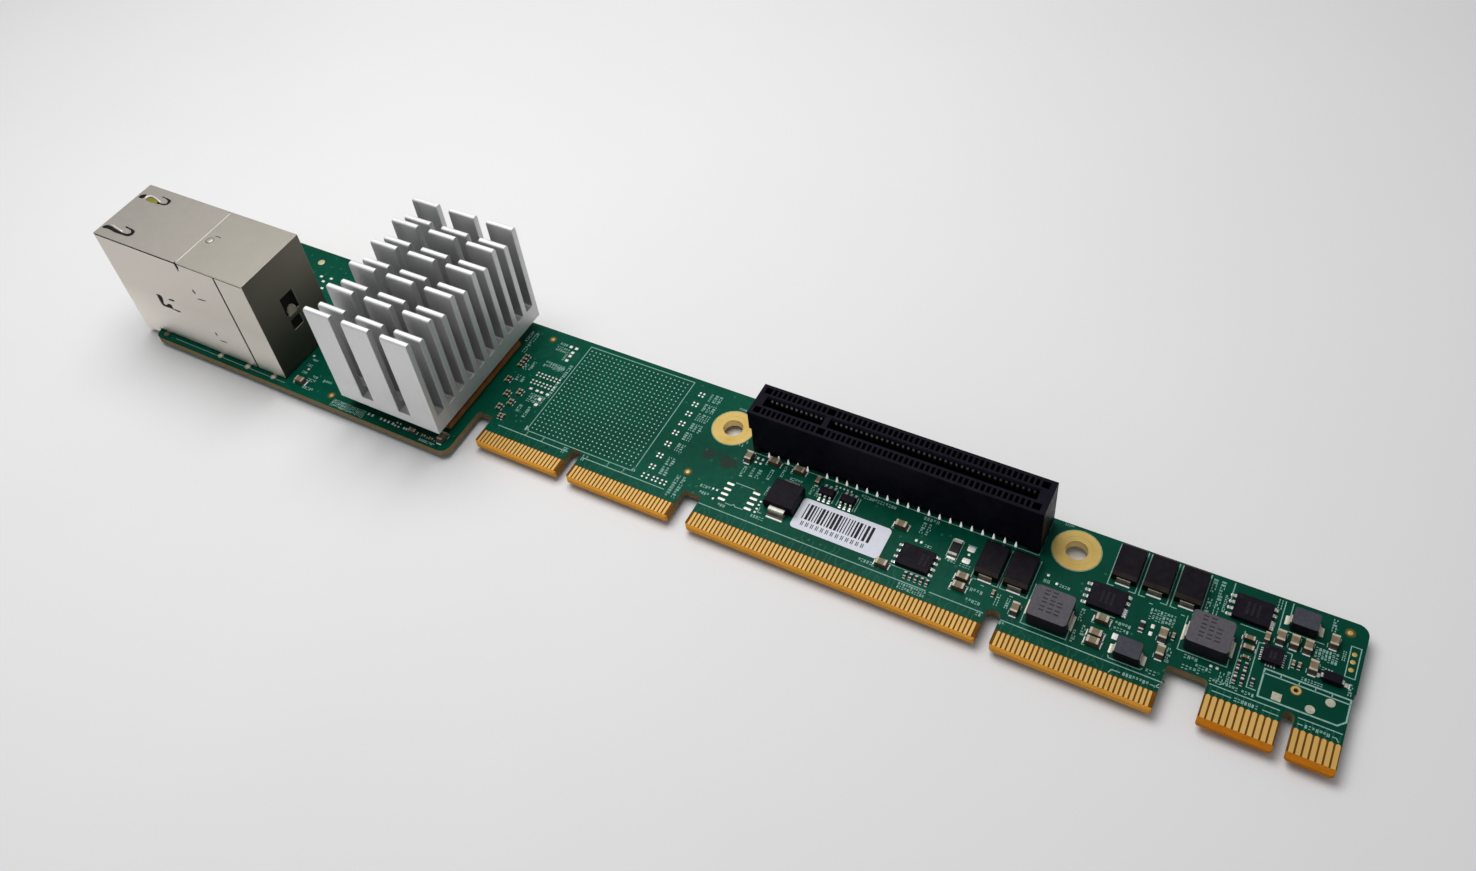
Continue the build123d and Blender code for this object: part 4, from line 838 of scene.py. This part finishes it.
for x, y, a in BIG_CAPS:
    chip_joint(x, y, a, 2.0, 1.25, 1.15, 0.34)
    h, w = (1.5, 0.85) if a == "x" else (0.85, 1.5)
    # corner ticks beside the part
    for s in (-1, 1):
        if a == "x":
            sl((x + s * 1.05, y + s * w), (x + s * 1.5, y + s * w), (x + s * 1.5, y + s * 0.3), w=0.13)
        else:
            sl((x + s * h, y + s * 0.35), (x + s * h, y + s * 1.2), w=0.13)
for x, y, a in MID_CAPS:
    chip_joint(x, y, a, 1.6, 0.8, 0.8, 0.26)
for x, y, a in SMALL_CAPS:
    chip_joint(x, y, a, 1.0, 0.5, 0.5, 0.18)
for x, y, a in SMALL_RES:
    chip_joint(x, y, a, 1.0, 0.5, 0.38, 0.18)
chip_joint(20.3, 13.9, "y", 1.6, 0.8, 0.45, 0.26)
chip_joint(-12.4, 15.4, "y", 3.2, 1.6, 0.6, 0.42)
for x, y in ((-60.8, 23.75), (6.4, 23.75)):
    # fine printed ring round each plated eyelet
    silk.ring(x, y, 4.20, 4.29, 0.0, Z_SILK, n=64)
silk.make("silk_marks", "silk", "label_white")

for x, y in [(-5.6, 15.3), (-0.5, 15.3), (15.25, 24.2), (20.45, 24.2), (25.65, 24.2)]:
    for s in (-1, 1):
        fillet(x, y + s * 3.63, 0, s, 2.4, 0.34, 0.30, shade)
        toe_line(x, y + s * 3.90, 0, s, 2.4, 0.26)
for x, y in [(6.4, 10.0), (30.4, 16.0)]:
    for s in (-1, 1):
        fillet(x + s * 3.53, y - 0.3, s, 0, 3.0, 0.60, 0.50, cream)
for x, y in [(19.7, 7.9), (43.2, 24.7)]:
    for s in (-1, 1):
        fillet(x + s * 2.22, y, s, 0, 1.75, 0.60, 0.72, cream)
for s in (-1, 1):
    fillet(-44.1, 12.45 + s * 3.8, 0, s, 3.2, 0.30, 0.60, shade)
toe_line(-44.1, 8.11, 0, -1, 3.2, 0.32)
for x, y in [(13.9, 16.35), (35.4, 23.9)]:
    for k in range(4):
        yy = y - 1.905 + 1.27 * k
        toe.pillow(x - 3.92, x - 3.28, yy - 0.36, yy + 0.36, 0.0, 0.30, 0.28, 0.20)
    for y0, y1 in ((y - 2.28, y - 0.38), (y + 0.22, y + 1.02), (y + 1.48, y + 2.28)):
        fill.pillow(x + 3.28, x + 3.70, y0, y1, 0.0, 0.20, 0.18, 0.14)
for s in (-1, 1):
    for k in range(4):
        yy = 10.4 - 1.905 + 1.27 * k
        xa, xb = sorted((-17.65 + s * 3.28, -17.65 + s * 3.86))
        toe.pillow(xa, xb, yy - 0.32, yy + 0.32, 0.0, 0.26, 0.24, 0.18)
for x, y in [(-37.6, 16.9), (-33.5, 16.9)]:
    for s in (-1, 1):
        for k in (-1, 0, 1):
            fillet(x + 0.95 * k, y + s * 1.65, 0, s, 0.48, 0.12, 0.30)
for s in (-1, 1):
    fillet(48.85 + s * 2.25, 16.8, s, 0, 0.9, 0.13, 0.35)
for k in range(6):
    o = -1.1 + 0.44 * k
    for s in (-1, 1):
        fillet(39.95 + s * 1.75, 17.0 + o, s, 0, 0.24, 0.08, 0.16)
        if 0 < k < 5:
            fillet(39.95 + o, 17.0 + s * 1.70, 0, s, 0.24, 0.08, 0.16)
fill.make("solder_fillets", "solder", "solder")
cream.make("strap_fillets", "solder_cream", "solder")
shade.make("joint_hollows", "joint_shade", "solder")
toe.make("joint_toes", "painted_tin_glint", "solder")

# ------------------------------------------------------------------ bare pads of unfitted parts
pads = Build()


def pad(x, y, w, h, r=0.12):
    pads.pillow(x - w / 2, x + w / 2, y - h / 2, y + h / 2, 0.0, 0.07, r, 0.10)


for y in (11.7, 10.4, 9.2, 7.95):
    pad(-54.9, y, 1.55, 0.58, 0.2)
    pad(-49.5, y, 1.55, 0.58, 0.2)
for y in (28.7, 26.0, 23.4, 20.7, 18.2, 15.2, 12.1, 9.2):
    for x in (-70.95, -70.15):
        for d in (-0.36, 0.36):
            pad(x, y + d, 0.46, 0.46)
for x in (-71.2, -70.2, -69.0, -68.2, -67.2, -66.3):
    for y in (7.15, 6.4):
        pad(x, y, 0.46, 0.42)
for k in range(7):
    for y in (20.5, 19.75, 18.35, 17.6):
        pad(-104.5 + 0.87 * k, y, 0.48, 0.42)
for x in (-103.6, -102.05, -100.95, -99.5):
    pad(x, 16.2, 0.75, 0.6)
for x, y in ((-102.2, 29.3), (-100.85, 29.3), (-101.0, 28.0), (-101.0, 27.0), (-101.0, 25.7)):
    pad(x, y, 0.75, 0.7)
for x, y in ((-100.3, 14.5), (-100.2, 13.0)):
    pad(x, y, 0.8, 0.75)
for y in (16.5, 13.9):
    pad(-9.8, y, 1.45, 1.15, 0.3)
pad(-9.8, 15.3, 0.5, 0.5)
pad(-12.4, 13.45, 1.6, 0.6)
for x in (-19.14, -18.2):
    pad(x, 14.3, 0.5, 0.6)
for y in (14.65, 13.2):
    pad(21.9, y, 0.62, 0.85)
for x in (31.9, 32.85):
    pad(x, 11.5, 0.5, 0.5)
for y in (10.3,):
    pad(17.0, y, 0.95, 1.25, 0.1)
for x in (-53.0, -52.0):
    pad(x, 19.2, 0.5, 0.6)
    pad(x, 18.2, 0.5, 0.5)
for x in (-57.4, -56.6, -56.4):
    pad(x, 9.4 if x < -56.5 else 7.4, 0.42, 0.5)
for y in (10.4, 9.6, 8.7, 7.9):
    pad(-47.95, y, 0.5, 0.42)
for x, y in ((-168.0, 25.0), (-165.3, 25.3), (-166.5, 23.9), (-165.3, 22.0)):
    pad(x, y, 0.8, 0.6)
for x in (-130.8, -129.8, -127.6, -126.6, -125.6, -124.5):
    pad(x, -3.1, 0.5, 0.62)
for x in (-123.8, -122.9):
    pad(x, -2.5, 0.45, 0.4)
    pad(x, -3.3, 0.45, 0.4)
for x in (-121.6, -121.0):
    pad(x, -3.1, 0.42, 0.55)
for x, y in ((-151.8, -2.4), (-152.7, 4.9), (-151.2, 1.4)):
    pad(x, y, 0.6, 0.5)
pad(-51.9, 20.9, 0.4, 0.3)
for x, y in ((5.5, 15.95), (3.7, 17.0)):
    pad(x, y, 0.5, 0.55)
# loose contact row of the small square part beside the square chip
for k in range(5):
    pad(-36.8 + 0.75 * k, 19.25, 0.36, 0.45)
pads.make("bare_pads", "pad", "tin")

dots = Build()
for i in range(24):
    for j in range(24):
        x = -97.4 + i * (22.9 / 23.0)
        y = 7.7 + j * (22.3 / 23.0)
        dots.lathe(x, y, [(0.165, 0.0), (0.158, 0.03), (0.10, 0.05)], n=8)
dots.make("chip_array_pads", "dot", "solder")

# ------------------------------------------------------------------ vias and traces
vias, traces = Build(), Build()
KEEP = [(-196, -152, -3.5, 14.5), (-137, -110.9, -0.2, 26.0), (-98.4, -73.2, 6.5, 31.2), (-66, -55.5, 19.0, 29), (-56, 1.4, 19.8, 28.3),
        (1.8, 11, 19.2, 28.4), (-47.6, -23.4, 7.4, 17.2), (2.2, 10.4, 6.0, 14.2), (26.2, 34.4, 12.0, 20.0), (39.0, 52.3, 9.2, 15.0),
        (12.8, 28.4, 19.2, 28.5), (10, 18, 13, 19.6), (31.4, 39.6, 20.8, 28.4), (-8.2, 2.0, 10.9, 19.4), (-21.6, -12.8, 6, 13.4),
        (40.8, 47.2, 22.4, 28.5), (16.6, 22.8, 6.0, 10.9), (35, 52, 15, 22.8)]


def free(x, y, g=0.3):
    if y > 28.3 and x > -47:
        return False
    return not any(a - g < x < b + g and c - g < y < d + g for a, b, c, d in KEEP)


spots = []
tries = 0
while len(spots) < 170 and tries < 20000:
    tries += 1
    x, y = RND.uniform(-189.5, 51.0), RND.uniform(-3.9, 31.2)
    if x > -110 and y < 6.2:
        continue
    if x > 26 and y < 9.2:
        continue
    if not free(x, y) or any((x - a) ** 2 + (y - b) ** 2 < 0.9 for a, b in spots):
        continue
    spots.append((x, y))
for x, y in spots:
    vias.ring(x, y, 0.10, 0.24, 0.0, 0.014, n=10)
    vias.ring(x, y, 0.10, 0.24, -T - 0.014, -T, n=10)

# fan-out from the fine contacts: short runs with a 45 degree jog, top and bottom
for first, count in ((-105.55, 23), (-83.98, 27), (-57.75, 68), (0.0, 32)):
    for i in range(count):
        x = first + 0.8 * i
        if i % 3 == 1:
            continue
        up = RND.uniform(4.2, 6.2)
        jog = RND.choice((-0.5, 0.4, 0.7, -0.8))
        top = up + abs(jog) + RND.uniform(0.2, 0.7)
        traces.line([(x, 3.36), (x, up - 0.6), (x + jog, up - 0.6 + abs(jog)), (x + jog, top)], 0.16, 0.0, Z_TRACE)
        traces.line([(x, 3.36), (x, up), (x - jog, up + abs(jog)), (x - jog, top + 1.2)], 0.16, -T - Z_TRACE, -T)
for first, count in ((32.79, 11), (45.79, 7)):
    for i in range(count):
        x = first + i
        traces.line([(x, 6.5), (x, 8.0 + 0.3 * (i % 3))], 0.25, 0.0, Z_TRACE)
        traces.line([(x, 6.5), (x, 9.0), (x - 0.7, 9.7), (x - 0.7, 12.0 + (i % 4))], 0.25, -T - Z_TRACE, -T)
# pairs from the slot to the chip array, mostly on the underside
for k in range(14):
    y = 10.0 + 0.62 * k
    traces.line([(-55.5, y), (-60.0, y), (-62.0 - 0.2 * k, y + 2.0), (-73.0, y + 2.0)], 0.16, -T - Z_TRACE, -T)
for k in range(16):
    y = 8.0 + 0.7 * k
    traces.line([(-98.6, y), (-104.0, y), (-107.0, y + 3.0), (-111.0, y + 3.0)], 0.16, -T - Z_TRACE, -T)
for k in range(12):
    y = 4.0 + 0.9 * k
    traces.line([(-138.0, y + 2.0), (-144.0, y + 2.0), (-146.0, y), (-156.0, y)], 0.18, -T - Z_TRACE, -T)
for k in range(7):
    traces.line([(-99.2, 26.0 + 0.4 * k), (-104.5, 26.0 + 0.4 * k), (-106.5 - 0.15 * k, 24.0 + 0.4 * k), (-108.4, 24.0 + 0.4 * k)], 0.14, 0.0, Z_TRACE)
for k in range(9):
    traces.line([(-140.0 - k * 0.2, 30.2 - 0.8 * k), (-146.0, 30.2 - 0.8 * k), (-149.0, 27.2 - 0.8 * k), (-158.0, 27.2 - 0.8 * k)], 0.18, 0.0, Z_TRACE)
traces.make("traces", "trace", "board")
vias.make("vias", "via", "board")

# ------------------------------------------------------------------ gold marks: sighting dots, test lands, rings
gold = Build()
amber = Build()
for x, y in ((49.8, 26.5), (-63.75, 10.9), (-107.0, 29.6), (-141.6, -2.35)):
    amber.ring(x, y, 0.42, 0.80, 0.0, 0.012, n=24)
    gold.lathe(x, y, [(0.45, 0.0), (0.44, 0.03), (0.34, 0.045)], n=20)
for y in (22.8, 21.35, 19.85):
    gold.lathe(51.08, y, [(0.42, 0.0), (0.41, 0.03), (0.30, 0.045)], n=16)
pale = Build()
pale.lathe(-171.2, 28.7, [(0.85, 0.0), (0.83, 0.04), (0.5, 0.05)], n=20)
pale.make("pale_land", "land_pale", "land_gold")
for x, y in ((44.4, 12.8),):
    amber.ring(x, y, 0.76, 0.88, 0.0, 0.012, n=24)
gold.make("gold_marks", "land", "land_gold")
amber.make("mask_openings", "amber", "substrate")
lines = Build()
for x, y in ((-60.8, 23.75), (6.4, 23.75)):
    lines.ring(x, y, 2.86, 3.0, 0.05, 0.058, n=48)
    lines.ring(x, y, 4.06, 4.15, 0.05, 0.056, n=48)
    lines.ring(x, y, 2.86, 3.0, -T - 0.058, -T - 0.05, n=48)
lines.make("ring_lines", "land_line", "land_gold")

# ------------------------------------------------------------------ joints on the underside and at the jack's foot
joints = Build()
CX = [-52.2 + i + (2.0 if i >= 11 else 0.0) for i in range(49)]
for i, x in enumerate(CX):
    off = 3.55 if i % 2 else 1.9
    for s in (-1, 1):
        y = 24.18 + s * off
        joints.lathe(x, y, [(0.55, -T), (0.52, -T - 0.05), (0.38, -T - 0.22), (0.27, -T - 0.45), (0.20, -T - 0.62)], n=10)
for i in range(20):
    x, y = -177.0 + 2.0 * (i % 10), 3.2 if i < 10 else 7.8
    joints.lathe(x, y, [(0.78, -T), (0.74, -T - 0.06), (0.55, -T - 0.28), (0.40, -T - 0.55), (0.31, -T - 0.80)], n=12)
for x in (-188.9, -172.3, -164.3, -156.8):
    for y in (-2.70, 13.72):
        joints.lathe(x, y, [(1.0, -T), (0.95, -T - 0.06), (0.70, -T - 0.28), (0.50, -T - 0.50), (0.42, -T - 0.66)], n=16, sx=1.35, sy=0.85)
joints.make("through_hole_solder", "solder", "solder")
# rounded joint in front of each shield tab, on the upper face
foot, foot_b = Build(), Build()
for x in (-188.9, -172.3, -164.3, -156.8):
    for y in (-3.52, 14.54):
        b = foot_b if x < -180 else foot
        b.lathe(x, y, [(0.72, 0.0), (0.70, 0.12), (0.56, 0.30), (0.30, 0.42), (0.10, 0.45)], n=16, sx=1.05, sy=0.92)
foot.make("jack_tab_solder", "solder_dull", "solder")
foot_b.make("jack_tab_solder_front", "solder_brown", "solder")
# tails of the slot's outer rows where they enter the board, drawn bright with a glowing painted highlight
tails = Build()
for i, x in enumerate(CX):
    if i % 2:
        for s in (-1, 1):
            # a low dome of solder that runs up the leaning tail
            rings = []
            for r, z, lean in ((0.21, 0.0, 0.0), (0.24, 0.10, 0.0), (0.23, 0.28, 0.01), (0.18, 0.52, 0.05), (0.12, 0.82, 0.09), (0.06, 1.12, 0.13)):
                y = 24.18 + s * (3.92 - lean)
                rings.append([(x - 0.02 + r * math.cos(math.tau * k / 14), y + r * math.sin(math.tau * k / 14), z) for k in range(14)])
            tails.loft(rings)
tails.make("slot_tail_solder", "glowing_tail_highlight", "solder")

# ------------------------------------------------------------------ label bars
bars = Build()
x = -39.7
while x < -26.4:
    w = RND.choice((0.20, 0.20, 0.22, 0.36, 0.52))
    bars.box(x, min(x + w, -26.3), 10.15, 13.65, 0.1, 0.112)
    x += w + RND.choice((0.24, 0.26, 0.36, 0.52))
x = -39.3
while x < -27.2:
    bars.box(x, x + 0.16, 8.75, 9.7, 0.1, 0.112)
    bars.box(x + 0.32, x + 0.46, 8.75, 9.7, 0.1, 0.112)
    x += 0.98
bars.make("label_bars", "ink", "label_white")

# ------------------------------------------------------------------ plain marks on the moulded parts
marks = Build()
for x, y in [(6.4, 10.0), (30.4, 16.0)]:
    for r, (dy, n) in enumerate(((1.7, 2), (0.1, 3), (-1.5, 3))):
        for k in range(n):
            xx = x - 1.7 + 1.25 * k
            marks.box(xx, xx + 0.85, y + dy - 0.42, y + dy - 0.18, 3.10, 3.106)
            marks.box(xx, xx + 0.85, y + dy + 0.32, y + dy + 0.54, 3.10, 3.106)
marks.make("pressed_bars", "ink_mark", "ferrite_grey")
las = Build()
for x, y, z, n, w, g in ((13.9, 16.35, 1.0, 3, 2.6, 0.85), (35.4, 23.9, 1.0, 3, 2.6, 0.85), (-16.15, 10.4, 1.0, 2, 2.4, 0.9), (39.95, 17.0, 0.95, 2, 1.4, 0.6)):
    for k in range(n):
        xx = x - (n - 1) * g / 2 + k * g
        u = y - w / 2
        while u < y + w / 2 - 0.2:
            las.box(xx - 0.22, xx + 0.22, u, u + 0.16, z, z + 0.004)
            u += 0.36
for x, y, z in ((-19.9, 11.9, 1.0), (11.6, 18.0, 1.0), (33.1, 25.5, 1.0), (38.8, 18.1, 0.95)):
    las.ring(x, y, 0.20, 0.27, z, z + 0.004, n=16)
las.make("laser_dashes", "mark", "mould_black")

# ------------------------------------------------------------------ jack details
JY0, JY1, JZ1 = -2.83, 13.85, 27.2
fold_shade, crease_shade = Build(), Build()
for a, b, w in (((-171.0, 20.15), (-170.7, 18.85), 0.62), ((-171.0, 17.42), (-168.1, 17.80), 0.34), ((-171.05, 7.3), (-170.75, 6.3), 0.55),
                ((-170.8, 4.9), (-168.4, 5.15), 0.34)):
    # pressed dimples in both side walls: a dark crescent of painted shade
    dx, dz = b[0] - a[0], b[1] - a[1]
    L = math.hypot(dx, dz)
    ux, uz = dx / L, dz / L
    for y0, y1 in ((JY0 - 0.012, JY0 + 0.01), (JY1 - 0.01, JY1 + 0.012)):
        ring = []
        for k in range(12):
            t = 2 * math.pi * k / 12
            p, q = 0.5 + 0.5 * math.cos(t), 0.5 * w * math.sin(t)
            ring.append((a[0] + dx * p - uz * q, a[1] + dz * p + ux * q))
        crease_shade.yprism(ring, y0, y1)
crease_shade.prism([(-169.9, 6.60), (-169.1, 6.70), (-168.4, 6.62), (-168.4, 6.80), (-169.2, 6.92), (-169.9, 6.78)], JZ1 - 0.01, JZ1 + 0.012)
# painted shade: a dark fold line along the upper near and far edges; it thins beside the roof flap
for y in (JY0, JY1):
    s = 1 if y > 0 else -1
    fold_shade.box(-196.35, -172.6, min(y, y + s * 0.014), max(y, y + s * 0.014), JZ1 - 0.42, JZ1 - 0.06)
    # painted shade in the side seam between shield and rear cover, and in the corner notch of the roof flap
    fold_shade.box(-161.76, -161.44, min(y, y + s * 0.014), max(y, y + s * 0.014), 0.6, JZ1 - 0.44)
    fold_shade.box(-172.42, -171.88, min(y, y + s * 0.014), max(y, y + s * 0.014), JZ1 - 1.5, JZ1 - 0.06)
    crease_shade.box(-172.0, -153.95, min(y, y + s * 0.012), max(y, y + s * 0.012), JZ1 - 0.42, JZ1 - 0.20)
fold_shade.make("jack_fold_shade_lines", "fold_shade", "jack_black")
crease_shade.make("jack_crease_shades", "crease_shade", "jack_metal")

lip = Build()


def ridge(pts, w, h):
    """Rolled lip: a low rounded ridge on the roof along a polyline."""
    rings = []
    n = len(pts)
    for i, (px, py) in enumerate(pts):
        a, c = pts[max(0, i - 1)], pts[min(n - 1, i + 1)]
        d = Vector((c[0] - a[0], c[1] - a[1])).normalized()
        ox, oy = -d.y, d.x
        k = 0.35 if i in (0, n - 1) else 1.0
        rings.append([(px + ox * w * u * k, py + oy * w * u * k, JZ1 + h * q * k - 0.02)
                      for u, q in ((-0.5, 0.0), (-0.3, 0.7), (0.0, 1.0), (0.3, 0.7), (0.5, 0.0))])
    lip.loft(rings)


# rolled lips in the paler painted-highlight colour
ridge([(-194.9, 0.62), (-193.9, 0.58), (-192.6, 0.30), (-191.4, 0.10), (-190.3, -0.05)], 0.44, 0.16)
ridge([(-194.15, 9.62), (-194.15, 10.35), (-193.7, 10.95), (-192.8, 11.10), (-191.7, 10.85), (-190.6, 10.56), (-189.7, 10.34)], 0.42, 0.16)
lip.make("jack_lips", "lip", "jack_metal")
lip = Build()
# roof seam ridge in the paler painted-highlight colour
ridge([(-172.13, JY0 + 0.05), (-172.10, JY0 + 0.8), (-172.10, 5.0), (-172.10, JY1 - 0.8), (-172.13, JY1 - 0.05)], 0.24, 0.055)
lip.make("jack_roof_seam", "seam_highlight", "jack_metal")
bump = Build()
bump.lathe(-170.2, 5.3, [(0.95, JZ1), (0.85, JZ1 + 0.06), (0.60, JZ1 + 0.13), (0.22, JZ1 + 0.16)], n=20)
bump.make("jack_roof_pips", "shield", "jack_metal")
fleck = Build()
fleck.prism([(-193.8, 9.74), (-193.70, 10.29), (-193.3, 10.72), (-192.73, 10.78), (-191.76, 10.54), (-190.7, 10.28), (-190.4, 9.62), (-191.35, 9.52),
             (-192.45, 9.54), (-193.28, 9.60)], JZ1 - 0.25, JZ1 - 0.10)
fleck.make("jack_pipe_glint", "pipe", "light_pipe")

# ------------------------------------------------------------------ floor, light, camera
floor = bpy.data.meshes.new("floor")
S = 3.0
floor.from_pydata([(-S, -S, 0), (S, -S, 0), (S, S, 0), (-S, S, 0)], [], [(0, 1, 2, 3)])
fo = bpy.data.objects.new("floor", floor)
bpy.context.scene.collection.objects.link(fo)
fs = Shade("pale_floor")
fs.link(fs.mix(fs.noise(14.0, 3.0), (0.80, 0.80, 0.81), (0.84, 0.84, 0.845)), fs.b.inputs["Base Color"])
fs.b.inputs["Roughness"].default_value = 0.8
fs.b.inputs["Specular IOR Level"].default_value = 0.2
fo.data.materials.append(fs.m)

w = bpy.data.worlds.new("soft_room")
bpy.context.scene.world = w
w.use_nodes = True
wt = w.node_tree
bg = wt.nodes["Background"]
bg.inputs["Color"].default_value = (0.95, 0.97, 1.0, 1.0)
# brighter behind the card and to its left than in front of it
wc = wt.nodes.new("ShaderNodeTexCoord")
wr = wt.nodes.new("ShaderNodeMapRange")
wm = wt.nodes.new("ShaderNodeVectorMath")
wm.operation = "DOT_PRODUCT"
wm.inputs[1].default_value = (-0.64, 0.77, 0.0)
wt.links.new(wc.outputs["Generated"], wm.inputs[0])
wt.links.new(wm.outputs["Value"], wr.inputs["Value"])
wr.inputs["From Min"].default_value = -1.0
wr.inputs["From Max"].default_value = 1.0
wr.inputs["To Min"].default_value = 0.20
wr.inputs["To Max"].default_value = 0.46
wt.links.new(wr.outputs["Result"], bg.inputs["Strength"])


def area(name, loc, target, size, power, colour=(1, 1, 1)):
    d = bpy.data.lights.new(name, "AREA")
    d.shape = "RECTANGLE"
    d.size, d.size_y = size
    d.energy = power
    d.color = colour
    o = bpy.data.objects.new(name, d)
    o.location = loc
    o.rotation_euler = (Vector(target) - Vector(loc)).to_track_quat("-Z", "Y").to_euler()
    bpy.context.scene.collection.objects.link(o)


area("key_overhead", (-0.102, 0.062, 0.36), (-0.068, 0.01, 0.0), (0.32, 0.26), 1.20, (1.0, 0.985, 0.965))

cam = bpy.data.cameras.new("camera")
co = bpy.data.objects.new("camera", cam)
bpy.context.scene.collection.objects.link(co)
right = Vector((0.86774, 0.48409, -0.11267))
up = Vector((-0.27504, 0.65649, 0.7024))
back = Vector((0.41399, -0.57851, 0.70281))
rot = Matrix((right, up, back)).transposed()
co.matrix_world = Matrix.Translation(m(31.58, -111.38, 196.25)) @ rot.to_4x4()
cam.sensor_fit = "HORIZONTAL"
cam.sensor_width = 36.0
cam.lens = 1315.83 / 1476.0 * 36.0
cam.shift_x = 0.02899
cam.shift_y = -0.08817
cam.clip_start = 0.005
cam.clip_end = 20.0
bpy.context.scene.camera = co
bpy.context.scene.view_settings.view_transform = "Standard"
